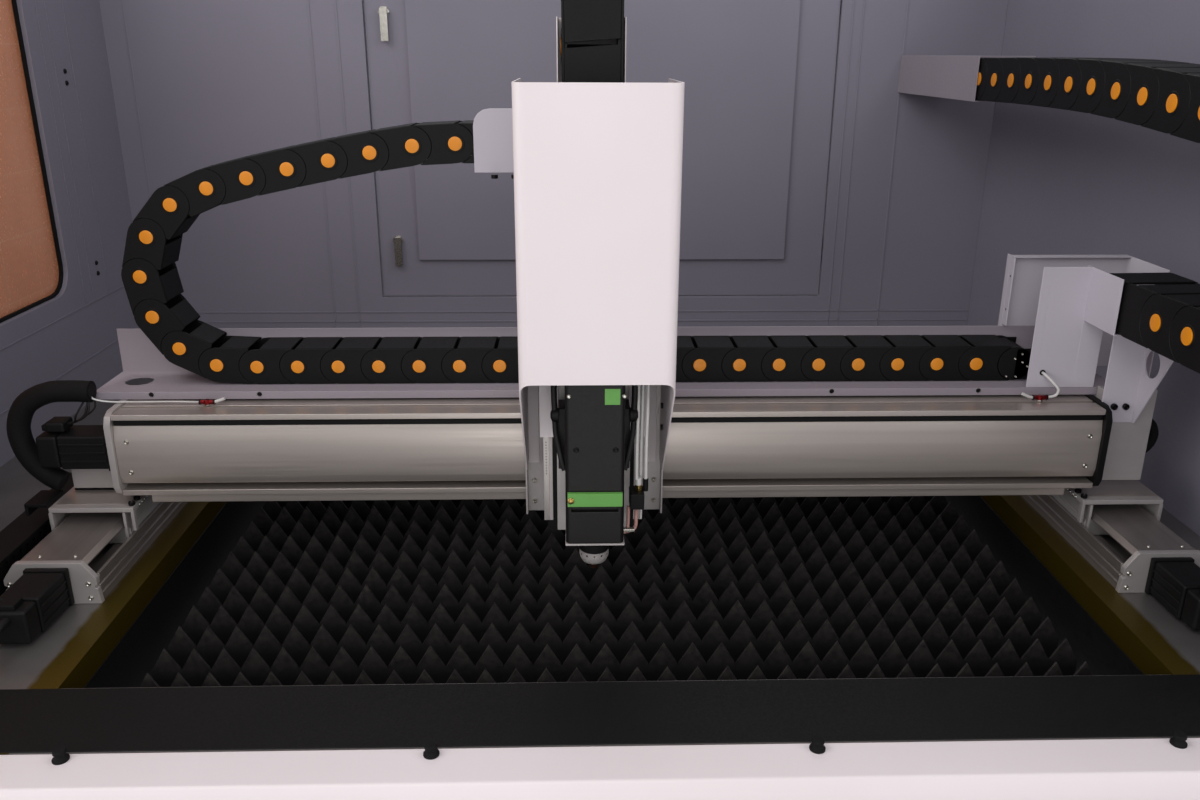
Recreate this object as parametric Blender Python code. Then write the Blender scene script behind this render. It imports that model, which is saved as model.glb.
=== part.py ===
"""Enclosed fiber laser cutting machine: slat bed, gantry, cutting head, cable chains and sheet-metal enclosure.

Metres, +Z up, +X to the right, +Y to the back. The origin is the middle of the enclosure's footprint, on the floor.
"""
import math

import bmesh
import bpy
from mathutils import Matrix, Vector

# Clearances shared by all pieces
SEAT = 0.0003
RUNNING_GAP = 0.003
OVERRUN = 0.005

# Slat bed and pit
SLAT_COUNT = 19
SLAT_PITCH = 0.057
SLAT_LENGTH = 1.302
SLAT_THICKNESS = 0.004
SLAT_LOW = 0.712
TOOTH_COUNT = 32
TOOTH_HEIGHT = 0.034
TIP_DROP = 0.006
RACK_WIDTH = 0.030
RACK_HEIGHT = 0.040
GUTTER = 0.076
PIT_MARGIN = 0.040
LEDGE_LEVEL = 0.700
LEDGE_WIDTH = 0.110
BED_EDGE = 0.105

SLAT_DEPTH = (SLAT_COUNT - 1) * SLAT_PITCH
PIT_WIDTH = SLAT_LENGTH + 2 * GUTTER
Y_MODULE_X = PIT_WIDTH / 2 + BED_EDGE

# Enclosure: room beside, before and behind the bed, and levels above the floor
LEFT_ROOM = 0.358
RIGHT_ROOM = 0.168
FRONT_ROOM = 0.243
REAR_ROOM = 0.451
WALL = 0.040
REAR_WALL = 0.026
HINGE_RADIUS = 0.008
WALL_TOP = 1.950
TOP_TUBE = 0.040
RETURN_WIDTH = 0.070
RETURN_DEPTH = 0.030
FOOT_HEIGHT = 0.050
CABINET_TOP = 0.800
BED_THICKNESS = 0.040

LEFT_REACH = Y_MODULE_X + LEFT_ROOM
RIGHT_REACH = Y_MODULE_X + RIGHT_ROOM
BED_X = (LEFT_REACH - RIGHT_REACH) / 2
LEFT_FACE = BED_X - LEFT_REACH
RIGHT_FACE = BED_X + RIGHT_REACH
HALF_WIDTH = (LEFT_REACH + RIGHT_REACH) / 2 + WALL
HALF_DEPTH = (FRONT_ROOM + SLAT_DEPTH + REAR_ROOM) / 2
REAR_OUT = HALF_DEPTH - HINGE_RADIUS
REAR_FACE = REAR_OUT - REAR_WALL
BED_TOP = CABINET_TOP + BED_THICKNESS
SLAT_FRONT = FRONT_ROOM - HALF_DEPTH
SLAT_REAR = SLAT_FRONT + SLAT_DEPTH
PIT_FRONT = SLAT_FRONT - PIT_MARGIN
PIT_REAR = SLAT_REAR + PIT_MARGIN

# Base cabinet, drawer and feet
DRAWER_LOW = 0.130
DRAWER_HEIGHT = 0.290
DRAWER_GAP = 0.004
DRAWER_WALL = 0.003
DRAWER_FRONT = 0.020
GRIP_WIDTH = 0.240
GRIP_HEIGHT = 0.030
GRIP_DROP = 0.035
PLINTH_HEIGHT = 0.060
PLINTH_DEPTH = 0.040
FOOT_INSET = 0.120
FOOT_RADIUS = 0.045
FOOT_PAD = 0.014
STEM_RADIUS = 0.012
LOCKNUT_RADIUS = 0.020
LOCKNUT_HEIGHT = 0.012

# Front rail
RAIL_INSET = 0.004
RAIL_WIDTH = 0.073
RAIL_LIP = 0.012
RAIL_DROP = 0.020

RAIL_FRONT = RAIL_INSET - HALF_DEPTH
RAIL_REAR = RAIL_FRONT + RAIL_WIDTH

# Left window, in the left wall
WINDOW_REAR_INSET = 0.395
WINDOW_FRONT_INSET = 0.220
WINDOW_LOW = 1.102
WINDOW_HIGH = 1.780
WINDOW_CORNER = 0.060
WINDOW_SHEET = 0.006

WINDOW_REAR = HALF_DEPTH - WINDOW_REAR_INSET
WINDOW_FRONT = WINDOW_FRONT_INSET - HALF_DEPTH

# Rear service door and its cam locks
DOOR_WIDTH = 1.161
DOOR_INSET = 0.406
DOOR_LOW = 1.001
DOOR_HIGH = 1.854
DOOR_GAP = 0.003
DOOR_RIB = 0.008
HINGE_LENGTH = 0.035
HINGE_END = 0.119
HINGE_GAP = 0.0005
LOCK_INSET = 0.050
LOCK_END = 0.150
LOCK_RADIUS = 0.011
LOCK_GAP = 0.0005
LOCK_NUT = 0.014
LOCK_STAND = 0.012
TONGUE_LENGTH = 0.066
TONGUE_WIDTH = 0.018
TONGUE_THICKNESS = 0.004

DOOR_RIGHT = RIGHT_REACH - DOOR_INSET
DOOR_LEFT = DOOR_RIGHT - DOOR_WIDTH
HINGE_LEVELS = (DOOR_LOW + HINGE_END, DOOR_HIGH - HINGE_END)
LOCK_LEVELS = (DOOR_LOW + LOCK_END, DOOR_HIGH - LOCK_END)

# Linear module, one extrusion for all three axes
MODULE_WIDTH = 0.135
MODULE_HEIGHT = 0.079
MODULE_WALL = 0.009
MODULE_FLOOR = 0.012
MODULE_GROOVE = 0.008
GROOVE_DEPTH = 0.004
GROOVE_LEVEL = 0.040
SLOT_WIDTH = 0.010
COVER_THICKNESS = 0.006
COVER_CHAMFER = 0.004
COVER_SLOPE = 0.012
END_THICKNESS = 0.010
END_OVERHANG = 0.003
END_CROWN = 0.006
END_CORNER = 0.020
LEG_THICKNESS = 0.005
BLOCK_LOW = 0.026
BLOCK_HIGH = 0.064
BLOCK_GAP = 0.0006

# Servo motors
MOTOR_SIDE = 0.060
MOTOR_LENGTH = 0.118
MOTOR_CAP = 0.030
MOTOR_CAP_STEP = 0.003
PLUG_SIDE = 0.026
PLUG_LENGTH = 0.030
PLUG_DROP = 0.036

# Y axis
Y_MODULE_START = 0.169
Y_MODULE_STOP = 0.074
Y_CARRIAGE_START = 0.132
Y_CARRIAGE_LENGTH = 0.220
Y_PLATE = 0.0115
Y_PLATE_INNER = 0.132
Y_PLATE_OUTER = 0.083

Y_MODULE_FRONT = SLAT_FRONT + Y_MODULE_START
Y_MODULE_REAR = REAR_FACE - Y_MODULE_STOP
Y_CARRIAGE_FRONT = Y_MODULE_FRONT + Y_CARRIAGE_START

# Gantry
BEAM_END = 0.097
BEAM_INSET = 0.020
BEAM_DEPTH = 0.096
BEAM_HEIGHT = 0.015
BEAM_RECESS = 0.012
BEAM_RELIEF = 0.005
X_MODULE_END = 0.056
X_MODULE_INSET = 0.025

BEAM_HALF = Y_MODULE_X - BEAM_END
BEAM_FRONT = Y_CARRIAGE_FRONT + BEAM_INSET
BEAM_REAR = BEAM_FRONT + BEAM_DEPTH
X_MODULE_HALF = Y_MODULE_X - X_MODULE_END
X_MODULE_BACK = BEAM_REAR - X_MODULE_INSET

# Cable tray behind the X module, guard plate, post and gusset
SHEET = 0.002
TRAY_END = 0.051
TRAY_REACH = 0.015
TRAY_STAND = 0.017
TRAY_DEPTH = 0.099
TRAY_WALL = 0.074
TRAY_HOLE_INSET = 0.050
TRAY_HOLE = 0.0225
Y_CHAIN_INSET = 0.0215
Y_CHAIN_WIDTH = 0.105
GUARD_ROOM = 0.0075
GUARD_WIDTH = 0.198
GUARD_TOP = 1.296
GUARD_REACH = 0.027
GUARD_FLANGE = 0.014
POST_WIDTH = 0.0675
POST_TOP = 1.299
ARM_REACH = 0.080
GUSSET_INSET = 0.0745
GUSSET_SHEET = 0.003
GUSSET_REACH = 0.020
GUSSET_NOSE = 0.030
GUSSET_LOW = 1.052
GUSSET_FLANGE = 0.050
GUSSET_FLANGE_TOP = 1.110
GUSSET_HOLE = 0.012
GUSSET_HOLE_LONG = 0.014
GUSSET_HOLE_LEVEL = 1.167
GUSSET_HOLE_INSET = 0.044
BRACKET_REACH = 0.096
BRACKET_THICKNESS = 0.008
BRACKET_TOP = 1.106

TRAY_HALF = X_MODULE_HALF + TRAY_END
TRAY_BACK = X_MODULE_BACK + TRAY_DEPTH
TRAY_HOLE_X = TRAY_HOLE_INSET - TRAY_HALF
Y_CHAIN_LEFT = X_MODULE_HALF - Y_CHAIN_INSET
Y_CHAIN_RIGHT = Y_CHAIN_LEFT + Y_CHAIN_WIDTH
GUARD_RIGHT = Y_CHAIN_RIGHT + GUARD_ROOM
GUARD_LEFT = GUARD_RIGHT - GUARD_WIDTH
GUARD_FRONT = X_MODULE_BACK - GUARD_REACH
POST_LEFT = Y_CHAIN_LEFT - POST_WIDTH
ARM_FRONT = GUARD_FRONT - ARM_REACH
GUSSET_X = Y_CHAIN_LEFT + GUSSET_INSET
GUSSET_FRONT = ARM_FRONT - GUSSET_REACH
GUSSET_HOLE_Y = GUSSET_FRONT + GUSSET_HOLE_INSET
BRACKET_RIGHT = X_MODULE_HALF + BRACKET_REACH

# Motor conduit at the left end of the gantry; its route starts from the X module's left end
CONDUIT_RADIUS = 0.016
CONDUIT_ROUTE = (
    (-0.0240, -0.1780, 1.0818),
    (-0.0640, -0.1800, 1.0812),
    (-0.1090, -0.1890, 1.0760),
    (-0.1480, -0.2070, 1.0620),
    (-0.1700, -0.2270, 1.0390),
    (-0.1740, -0.2450, 1.0040),
    (-0.1570, -0.2580, 0.9770),
    (-0.1300, -0.2645, 0.9668),
    (-0.1008, -0.2645, 0.9666),
)

# X chain in the tray
X_CHAIN_WIDTH = 0.075
X_CHAIN_HEIGHT = 0.058
X_CHAIN_PITCH = 0.066
X_CHAIN_RADIUS = 0.150
X_CHAIN_LINKS = 19
X_CHAIN_RISE = math.radians(8)
X_CHAIN_STOP = 0.007
X_UPPER_LINKS = 7
X_BEND_LINKS = (3, 4)

X_BEND_X = GUARD_LEFT - X_CHAIN_STOP - X_CHAIN_LINKS * X_CHAIN_PITCH

# Y chain beside the gantry's right end
Y_CHAIN_HEIGHT = 0.080
Y_CHAIN_PITCH = 0.071
Y_CHAIN_RADIUS = 0.1545
Y_CHAIN_LEVEL = 1.256
Y_CHAIN_STOP = 0.008
Y_LOWER_LINKS = 5
Y_UPPER_LINKS = 15
Y_BEND_LINKS = (3, 4)
SHELF_LENGTH = 0.503
SHELF_WALL = 0.086
SIDE_SHELF_INSET = 0.217
SIDE_SHELF_LENGTH = 0.310
SIDE_SHELF_LEVEL = 1.518
SIDE_SHELF_DROP = 0.050

Y_BEND_Y = X_MODULE_BACK + Y_CHAIN_STOP - Y_LOWER_LINKS * Y_CHAIN_PITCH
SHELF_FRONT = REAR_FACE - SHELF_LENGTH
SIDE_SHELF_FRONT = SLAT_FRONT + SIDE_SHELF_INSET
SIDE_SHELF_REAR = SIDE_SHELF_FRONT + SIDE_SHELF_LENGTH

# Z chain over the head
Z_CHAIN_X = -0.038
Z_CHAIN_RADIUS = 0.075
Z_BEND_LEVEL = 1.686
Z_FRONT_LINKS = 5
Z_BACK_LINKS = 3
Z_BEND_LINKS = (2, 2)

# Chain links, shared by the three chains
PLATE_THICKNESS = 0.005
BAR_HEIGHT = 0.006
BAR_PROUD = 0.001
BAR_SHARE = 0.40
NOTCH_SHARE = 0.14
NOTCH_CLEAR_SHARE = 1.2
NOTCH_DEPTH = 0.006
CAP_RADIUS = 0.0105
CAP_PROUD = 0.0025

# X carriage, with the head's mounting plate
CARRIAGE_PLATE = 0.012
CARRIAGE_STAND = 0.018
CARRIAGE_LEFT = -0.138
CARRIAGE_RIGHT = 0.074
CARRIAGE_LOW = 0.932
CARRIAGE_LENGTH = 0.160
CARRIAGE_FLANGE = 0.003
CARRIAGE_FLANGE_DEPTH = 0.014

# Head cover
COVER_REACH = 0.239
COVER_SHEET = 0.002
COVER_ROUND = 0.013
COVER_LOW = 1.209
COVER_HIGH = 1.580
WING_LOW = 1.052
WING_DEPTH = 0.075
WING_TAPER = 0.060

COVER_FRONT = BEAM_FRONT - COVER_REACH

# Chain end bracket on the X carriage
CHAIN_BRACKET_LEFT = -0.212
CHAIN_BRACKET_RIGHT = -0.020
CHAIN_BRACKET_SHEET = 0.003
CHAIN_BRACKET_LOW = 1.440
CHAIN_BRACKET_HIGH = 1.534
CHAIN_BRACKET_ROUND = 0.025

# Z module and head
HEAD_X = -0.035
Z_MODULE_LOW = 0.955
Z_MODULE_HIGH = 1.400
Z_SLIDE_LOW = 1.000
Z_SLIDE_HIGH = 1.450
Z_SLIDE_PLATE = 0.012
Z_SLIDE_HALF = 0.062
Z_BLOCK_LOW = 1.100
Z_BLOCK_HIGH = 1.260
HEAD_WIDTH = 0.080
HEAD_INSET = 0.010
HEAD_LOW = 0.972
HEAD_HIGH = 1.300
HEAD_CHAMFER = 0.004
HEAD_EAR = 0.010
HEAD_EAR_LOW = 1.060
HEAD_EAR_HIGH = 1.150
HEAD_EAR_DEPTH = 0.040
DRAWER_PLATE = 0.006
DRAWER_PLATE_LOW = 1.020
DRAWER_PLATE_HIGH = 1.046
KNOB_RADIUS = 0.006
NOZZLE_INSET = 0.050
HOLDER_TOP = 0.030
HOLDER_BOTTOM = 0.022
HOLDER_HEIGHT = 0.026
RING_RADIUS = 0.021
RING_HEIGHT = 0.018
TIP_RADIUS = 0.016
TIP_POINT = 0.004
TIP_HEIGHT = 0.019
CHANNEL_SHEET = 0.0016
CHANNEL_HIGH = 1.654
CHANNEL_GAP = 0.002

HEAD_FRONT = COVER_FRONT + HEAD_INSET
NOZZLE_Y = HEAD_FRONT + NOZZLE_INSET

ROUND_SIDES = 20
SMALL_SIDES = 10
CAP_SIDES = 6

# Places that follow from the sizes above
MODULE_HALF = MODULE_WIDTH / 2
COVER_HALF = MODULE_HALF - MODULE_WALL - SLOT_WIDTH
Y_MODULE_BASE = BED_TOP + SEAT
Y_PLATE_LOW = Y_MODULE_BASE + MODULE_HEIGHT + RUNNING_GAP
BEAM_LOW = Y_PLATE_LOW + Y_PLATE + SEAT
BEAM_TOP = BEAM_LOW + BEAM_HEIGHT
X_MODULE_LOW = BEAM_TOP + SEAT
X_MODULE_Z = X_MODULE_LOW + MODULE_HALF
X_MODULE_TOP = X_MODULE_LOW + MODULE_WIDTH
CARRIAGE_REAR = X_MODULE_BACK - MODULE_HEIGHT - CARRIAGE_STAND
CARRIAGE_FRONT = CARRIAGE_REAR - CARRIAGE_PLATE
Z_MODULE_BACK = CARRIAGE_FRONT - SEAT
Z_MODULE_FACE = Z_MODULE_BACK - MODULE_HEIGHT
Z_SLIDE_REAR = Z_MODULE_FACE - RUNNING_GAP
Z_SLIDE_FRONT = Z_SLIDE_REAR - Z_SLIDE_PLATE
TRAY_FRONT = X_MODULE_BACK - TRAY_REACH
X_CHAIN_LEVEL = X_MODULE_TOP + SEAT + TRAY_STAND + X_CHAIN_HEIGHT / 2
X_CHAIN_BACK = TRAY_BACK - SHEET - RUNNING_GAP
X_CHAIN_FRONT = X_CHAIN_BACK - X_CHAIN_WIDTH
TRAY_FLOOR = X_CHAIN_LEVEL - X_CHAIN_HEIGHT / 2 - BAR_PROUD - SEAT
ARM_FLOOR = Y_CHAIN_LEVEL - Y_CHAIN_HEIGHT / 2 - BAR_PROUD - SEAT
SHELF_FLOOR = ARM_FLOOR + 2 * Y_CHAIN_RADIUS
Z_CHAIN_Y = Z_SLIDE_FRONT - SEAT - CHANNEL_SHEET - SEAT - BAR_PROUD - X_CHAIN_HEIGHT / 2
Z_BACK_Y = Z_CHAIN_Y + 2 * Z_CHAIN_RADIUS
CARRIAGE_HIGH = Z_BEND_LEVEL - Z_BACK_LINKS * X_CHAIN_PITCH - SEAT

FINISHES = {
    "grey_enamel": ((0.30, 0.35, 0.43, 1), 0.45, 0.0),
    "white_enamel": ((0.80, 0.82, 0.84, 1), 0.40, 0.0),
    "slat_steel": ((0.33, 0.33, 0.34, 1), 0.45, 0.9),
    "bed_steel": ((0.45, 0.46, 0.47, 1), 0.35, 0.8),
    "orange_acrylic": ((0.90, 0.22, 0.03, 0.6), 0.12, 0.0),
    "brushed_aluminium": ((0.62, 0.64, 0.66, 1), 0.35, 0.9),
    "cast_plate": ((0.72, 0.73, 0.73, 1), 0.50, 0.4),
    "black_plastic": ((0.02, 0.02, 0.022, 1), 0.45, 0.0),
    "zinc": ((0.60, 0.60, 0.58, 1), 0.30, 0.9),
    "copper": ((0.72, 0.38, 0.22, 1), 0.28, 1.0),
}

OTHER_AXES = {"X": (1, 2, 0), "Y": (0, 2, 1), "Z": (0, 1, 2)}


def clear_scene():
    """Removes every object, so that the script can run again."""
    for old in list(bpy.data.objects):
        bpy.data.objects.remove(old, do_unlink=True)


def finish_material(name):
    """One Principled material for each object, with the finish's colour, roughness and metallic value."""
    colour, roughness, metallic = FINISHES[name]
    material = bpy.data.materials.new(name)
    material.use_nodes = True
    shader = material.node_tree.nodes["Principled BSDF"]
    shader.inputs["Base Color"].default_value = colour
    shader.inputs["Roughness"].default_value = roughness
    shader.inputs["Metallic"].default_value = metallic
    shader.inputs["Alpha"].default_value = colour[3]
    return material


def prism(outline, axis, start, end):
    """A bar along one axis; its outline is given in the two other axes, in X, Y, Z order."""
    first, second, along = OTHER_AXES[axis]
    bm = bmesh.new()
    ring = []
    for across, up in outline:
        place = [0, 0, 0]
        place[first] = across
        place[second] = up
        place[along] = start
        ring.append(bm.verts.new(place))
    face = bm.faces.new(ring)
    grown = bmesh.ops.extrude_face_region(bm, geom=[face])
    step = Vector((0, 0, 0))
    step[along] = end - start
    corners = [item for item in grown["geom"] if isinstance(item, bmesh.types.BMVert)]
    bmesh.ops.translate(bm, vec=step, verts=corners)
    bmesh.ops.recalc_face_normals(bm, faces=bm.faces)
    return bm


def box(x, y, z):
    """A block between the pairs of limits x, y and z."""
    return prism(((x[0], y[0]), (x[1], y[0]), (x[1], y[1]), (x[0], y[1])), "Z", z[0], z[1])


def arc(centre, radius, start, end, steps):
    """Points of an arc in a plane, angles in degrees."""
    angles = [math.radians(start + (end - start) * step / steps) for step in range(steps + 1)]
    return [(centre[0] + radius * math.cos(a), centre[1] + radius * math.sin(a)) for a in angles]


def disc(centre, radius, axis, start, end, sides=ROUND_SIDES):
    """A round bar along one axis; the centre is given in the two other axes."""
    return prism(arc(centre, radius, 0, 360 - 360 / sides, sides - 1), axis, start, end)


def turned(profile, centre, sides=ROUND_SIDES):
    """A solid of revolution about a vertical axis; the profile runs from the axis down and back to the axis."""
    bm = bmesh.new()
    line = [bm.verts.new((centre[0] + radius, centre[1], level)) for radius, level in profile]
    edges = [bm.edges.new(pair) for pair in zip(line, line[1:])]
    pivot = (centre[0], centre[1], 0)
    bmesh.ops.spin(bm, geom=line + edges, cent=pivot, axis=(0, 0, 1), angle=2 * math.pi, steps=sides, use_merge=True)
    bmesh.ops.remove_doubles(bm, verts=bm.verts, dist=SEAT / 10)
    bmesh.ops.recalc_face_normals(bm, faces=bm.faces)
    return bm


def joined(shapes):
    """Several shapes as one mesh."""
    whole = bmesh.new()
    for shape in shapes:
        part = bpy.data.meshes.new("shape")
        shape.to_mesh(part)
        shape.free()
        whole.from_mesh(part)
        bpy.data.meshes.remove(part)
    return whole


def mesh_object(name, shape):
    """Puts a bmesh into the scene as an object."""
    mesh = bpy.data.meshes.new(name)
    shape.to_mesh(mesh)
    shape.free()
    made = bpy.data.objects.new(name, mesh)
    bpy.context.scene.collection.objects.link(made)
    return made


def combine(target, shapes, operation, label):
    """Adds a live Boolean of a hidden helper to the target."""
    helper = mesh_object(f"{target.name}_{label}", joined(shapes))
    helper.hide_render = True
    helper.display_type = "WIRE"
    helper.parent = target.parent
    helper.matrix_parent_inverse = target.matrix_parent_inverse
    modifier = target.modifiers.new(label, "BOOLEAN")
    modifier.operation = operation
    modifier.solver = "EXACT"
    modifier.use_self = len(shapes) > 1
    modifier.object = helper


def piece(name, finish, carrier, shape, added=(), cuts=(), cut_first=False):
    """Makes one named solid: a shape, with others united to it and others cut from it."""
    made = mesh_object(name, shape)
    made.data.materials.append(finish_material(finish))
    made.parent = carrier
    made.matrix_parent_inverse = carrier.matrix_world.inverted()
    steps = [(list(added), "UNION", "added"), (list(cuts), "DIFFERENCE", "cuts")]
    if cut_first:
        steps.reverse()
    for shapes, operation, label in steps:
        if shapes:
            combine(made, shapes, operation, label)
    return made


def axis_empty(name, place, parent=None):
    """An empty that a moving group hangs from, on its joint's axis."""
    made = bpy.data.objects.new(name, None)
    bpy.context.scene.collection.objects.link(made)
    made.parent = parent
    made.matrix_world = Matrix.Translation(place)
    bpy.context.view_layer.update()
    return made


def around(centre, width):
    """The limits of a width about its centre."""
    return centre - width / 2, centre + width / 2


def mirrored(outline):
    """The outline with its first coordinate reversed."""
    return [(-across, up) for across, up in reversed(outline)]


# Lower machine

def levelling_feet():
    """Four feet under the cabinet's corners: pad, stem and locknut turned as one."""
    top = FOOT_HEIGHT
    profile = ((0, top + OVERRUN), (LOCKNUT_RADIUS, top + OVERRUN), (LOCKNUT_RADIUS, top - LOCKNUT_HEIGHT),
               (STEM_RADIUS, top - LOCKNUT_HEIGHT), (STEM_RADIUS, FOOT_PAD), (FOOT_RADIUS, FOOT_PAD / 2),
               (FOOT_RADIUS, 0), (0, 0))
    reach_x = HALF_WIDTH - FOOT_INSET
    reach_y = HALF_DEPTH - FOOT_INSET
    return [turned(profile, (x, y), SMALL_SIDES) for x in (-reach_x, reach_x) for y in (-reach_y, reach_y)]


def base_cabinet(machine):
    """Welded cabinet on its feet, with the pit, the drawer bay below it and a set-back plinth."""
    body = box((-HALF_WIDTH, HALF_WIDTH), (-HALF_DEPTH, HALF_DEPTH), (FOOT_HEIGHT + PLINTH_HEIGHT, CABINET_TOP))
    plinth = box((-HALF_WIDTH + PLINTH_DEPTH, HALF_WIDTH - PLINTH_DEPTH),
                 (-HALF_DEPTH + PLINTH_DEPTH, HALF_DEPTH - PLINTH_DEPTH),
                 (FOOT_HEIGHT, FOOT_HEIGHT + PLINTH_HEIGHT + OVERRUN))
    pit = box(around(BED_X, PIT_WIDTH), (PIT_FRONT, PIT_REAR), (LEDGE_LEVEL, CABINET_TOP + OVERRUN))
    throat = box(around(BED_X, PIT_WIDTH - 2 * LEDGE_WIDTH), (PIT_FRONT, PIT_REAR),
                 (DRAWER_LOW, LEDGE_LEVEL + OVERRUN))
    bay = box(around(BED_X, PIT_WIDTH - 2 * LEDGE_WIDTH), (-HALF_DEPTH - OVERRUN, PIT_FRONT + OVERRUN),
              (DRAWER_LOW, DRAWER_LOW + DRAWER_HEIGHT))
    piece("base_cabinet", "grey_enamel", machine, body, added=[plinth] + levelling_feet(), cuts=[pit, throat, bay])


def scrap_drawer(slider):
    """Sheet drawer that catches the slugs, with a hand slot in its front."""
    width = PIT_WIDTH - 2 * LEDGE_WIDTH - 2 * DRAWER_GAP
    low = DRAWER_LOW + SEAT
    high = DRAWER_LOW + DRAWER_HEIGHT - DRAWER_GAP
    rear = PIT_REAR - DRAWER_GAP
    shell = box(around(BED_X, width), (-HALF_DEPTH + SEAT, rear), (low, high))
    room = box(around(BED_X, width - 2 * DRAWER_WALL), (-HALF_DEPTH + DRAWER_FRONT, rear - DRAWER_WALL),
               (low + DRAWER_WALL, high + OVERRUN))
    grip_level = high - GRIP_DROP
    grip = box(around(BED_X, GRIP_WIDTH), (-HALF_DEPTH - OVERRUN, -HALF_DEPTH + DRAWER_FRONT + OVERRUN),
               (grip_level - GRIP_HEIGHT, grip_level))
    piece("scrap_drawer", "grey_enamel", slider, shell, cuts=[room, grip])


def bed_plate(machine):
    """Ground plate round the pit that the Y modules stand on."""
    plate = box((LEFT_FACE + SEAT, RIGHT_FACE - SEAT), (RAIL_REAR + SEAT, REAR_FACE - SEAT),
                (CABINET_TOP + SEAT, BED_TOP))
    pit = box(around(BED_X, PIT_WIDTH), (PIT_FRONT, PIT_REAR), (CABINET_TOP - OVERRUN, BED_TOP + OVERRUN))
    piece("bed_plate", "bed_steel", machine, plate, cuts=[pit])


def front_rail(machine):
    """Folded white rail across the front, with a sloped lip."""
    low = CABINET_TOP + SEAT
    outline = ((RAIL_FRONT, low), (RAIL_REAR, low), (RAIL_REAR, BED_TOP),
               (RAIL_FRONT + RAIL_LIP, BED_TOP), (RAIL_FRONT, BED_TOP - RAIL_DROP))
    piece("front_rail", "white_enamel", machine, prism(outline, "X", LEFT_FACE + SEAT, RIGHT_FACE - SEAT))


def slat_outline():
    """Comb of one slat: flat back below, a row of teeth above."""
    pitch = SLAT_LENGTH / TOOTH_COUNT
    left, right = around(BED_X, SLAT_LENGTH)
    tip = BED_TOP - TIP_DROP
    points = [(right, SLAT_LOW), (left, SLAT_LOW), (left, tip - TOOTH_HEIGHT)]
    for tooth in range(TOOTH_COUNT):
        points.append((left + pitch * (tooth + 1 / 2), tip))
        points.append((left + pitch * (tooth + 1), tip - TOOTH_HEIGHT))
    return points


def slat_bed(machine):
    """Comb slats standing in two slotted racks, fused as one grate."""
    outline = slat_outline()
    slats = []
    for row in range(SLAT_COUNT):
        front, rear = around(SLAT_FRONT + row * SLAT_PITCH, SLAT_THICKNESS)
        slats.append(prism(outline, "Y", front, rear))
    racks = []
    for side in (-1, 1):
        centre = BED_X + side * (SLAT_LENGTH - RACK_WIDTH) / 2 + side * OVERRUN
        racks.append(box(around(centre, RACK_WIDTH), (PIT_FRONT + OVERRUN, PIT_REAR - OVERRUN),
                         (LEDGE_LEVEL + SEAT, LEDGE_LEVEL + RACK_HEIGHT)))
    piece("slat_bed", "slat_steel", machine, racks[0], added=[racks[1]] + slats)


# Enclosure

def rounded_rectangle(first, second, radius, steps=4):
    """A rectangle between two pairs of limits, with round corners."""
    corners = ((first[1] - radius, second[1] - radius, 0), (first[0] + radius, second[1] - radius, 90),
               (first[0] + radius, second[0] + radius, 180), (first[1] - radius, second[0] + radius, 270))
    points = []
    for across, up, start in corners:
        points.extend(arc((across, up), radius, start, start + 90, steps))
    return points


def left_wall(machine):
    """Left panel with its front return and the window opening."""
    outer = LEFT_FACE - WALL
    plan = ((outer, -HALF_DEPTH), (LEFT_FACE + RETURN_WIDTH, -HALF_DEPTH),
            (LEFT_FACE + RETURN_WIDTH, -HALF_DEPTH + RETURN_DEPTH), (LEFT_FACE, -HALF_DEPTH + RETURN_DEPTH),
            (LEFT_FACE, HALF_DEPTH), (outer, HALF_DEPTH))
    opening = prism(rounded_rectangle((WINDOW_FRONT, WINDOW_REAR), (WINDOW_LOW, WINDOW_HIGH), WINDOW_CORNER),
                    "X", outer - OVERRUN, LEFT_FACE + OVERRUN)
    rail_notch = box((LEFT_FACE, LEFT_FACE + RETURN_WIDTH + OVERRUN), (-HALF_DEPTH - OVERRUN, RAIL_REAR),
                     (CABINET_TOP - OVERRUN, BED_TOP + SEAT))
    piece("left_wall", "grey_enamel", machine, prism(plan, "Z", CABINET_TOP + SEAT, WALL_TOP),
          cuts=[opening, rail_notch])


def side_shelf():
    """Small folded shelf on the right wall, beside the Y chain."""
    wall = RIGHT_FACE + OVERRUN
    low = SIDE_SHELF_LEVEL - SIDE_SHELF_DROP
    inner = BED_X + Y_CHAIN_RIGHT + 2 * RUNNING_GAP
    outline = ((inner, SIDE_SHELF_LEVEL), (inner, SIDE_SHELF_LEVEL - SHEET), (RIGHT_FACE - SHEET, SIDE_SHELF_LEVEL - SHEET),
               (RIGHT_FACE - SHEET, low), (wall, low), (wall, SIDE_SHELF_LEVEL))
    return prism(outline, "Y", SIDE_SHELF_FRONT, SIDE_SHELF_REAR)


def right_wall(machine):
    """Right panel with its front return."""
    outer = RIGHT_FACE + WALL
    plan = ((RIGHT_FACE, HALF_DEPTH), (RIGHT_FACE, -HALF_DEPTH + RETURN_DEPTH),
            (RIGHT_FACE - RETURN_WIDTH, -HALF_DEPTH + RETURN_DEPTH), (RIGHT_FACE - RETURN_WIDTH, -HALF_DEPTH),
            (outer, -HALF_DEPTH), (outer, HALF_DEPTH))
    rail_notch = box((RIGHT_FACE - RETURN_WIDTH - OVERRUN, RIGHT_FACE), (-HALF_DEPTH - OVERRUN, RAIL_REAR),
                     (CABINET_TOP - OVERRUN, BED_TOP + SEAT))
    piece("right_wall", "grey_enamel", machine, prism(plan, "Z", CABINET_TOP + SEAT, WALL_TOP),
          added=[side_shelf()], cuts=[rail_notch])


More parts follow.
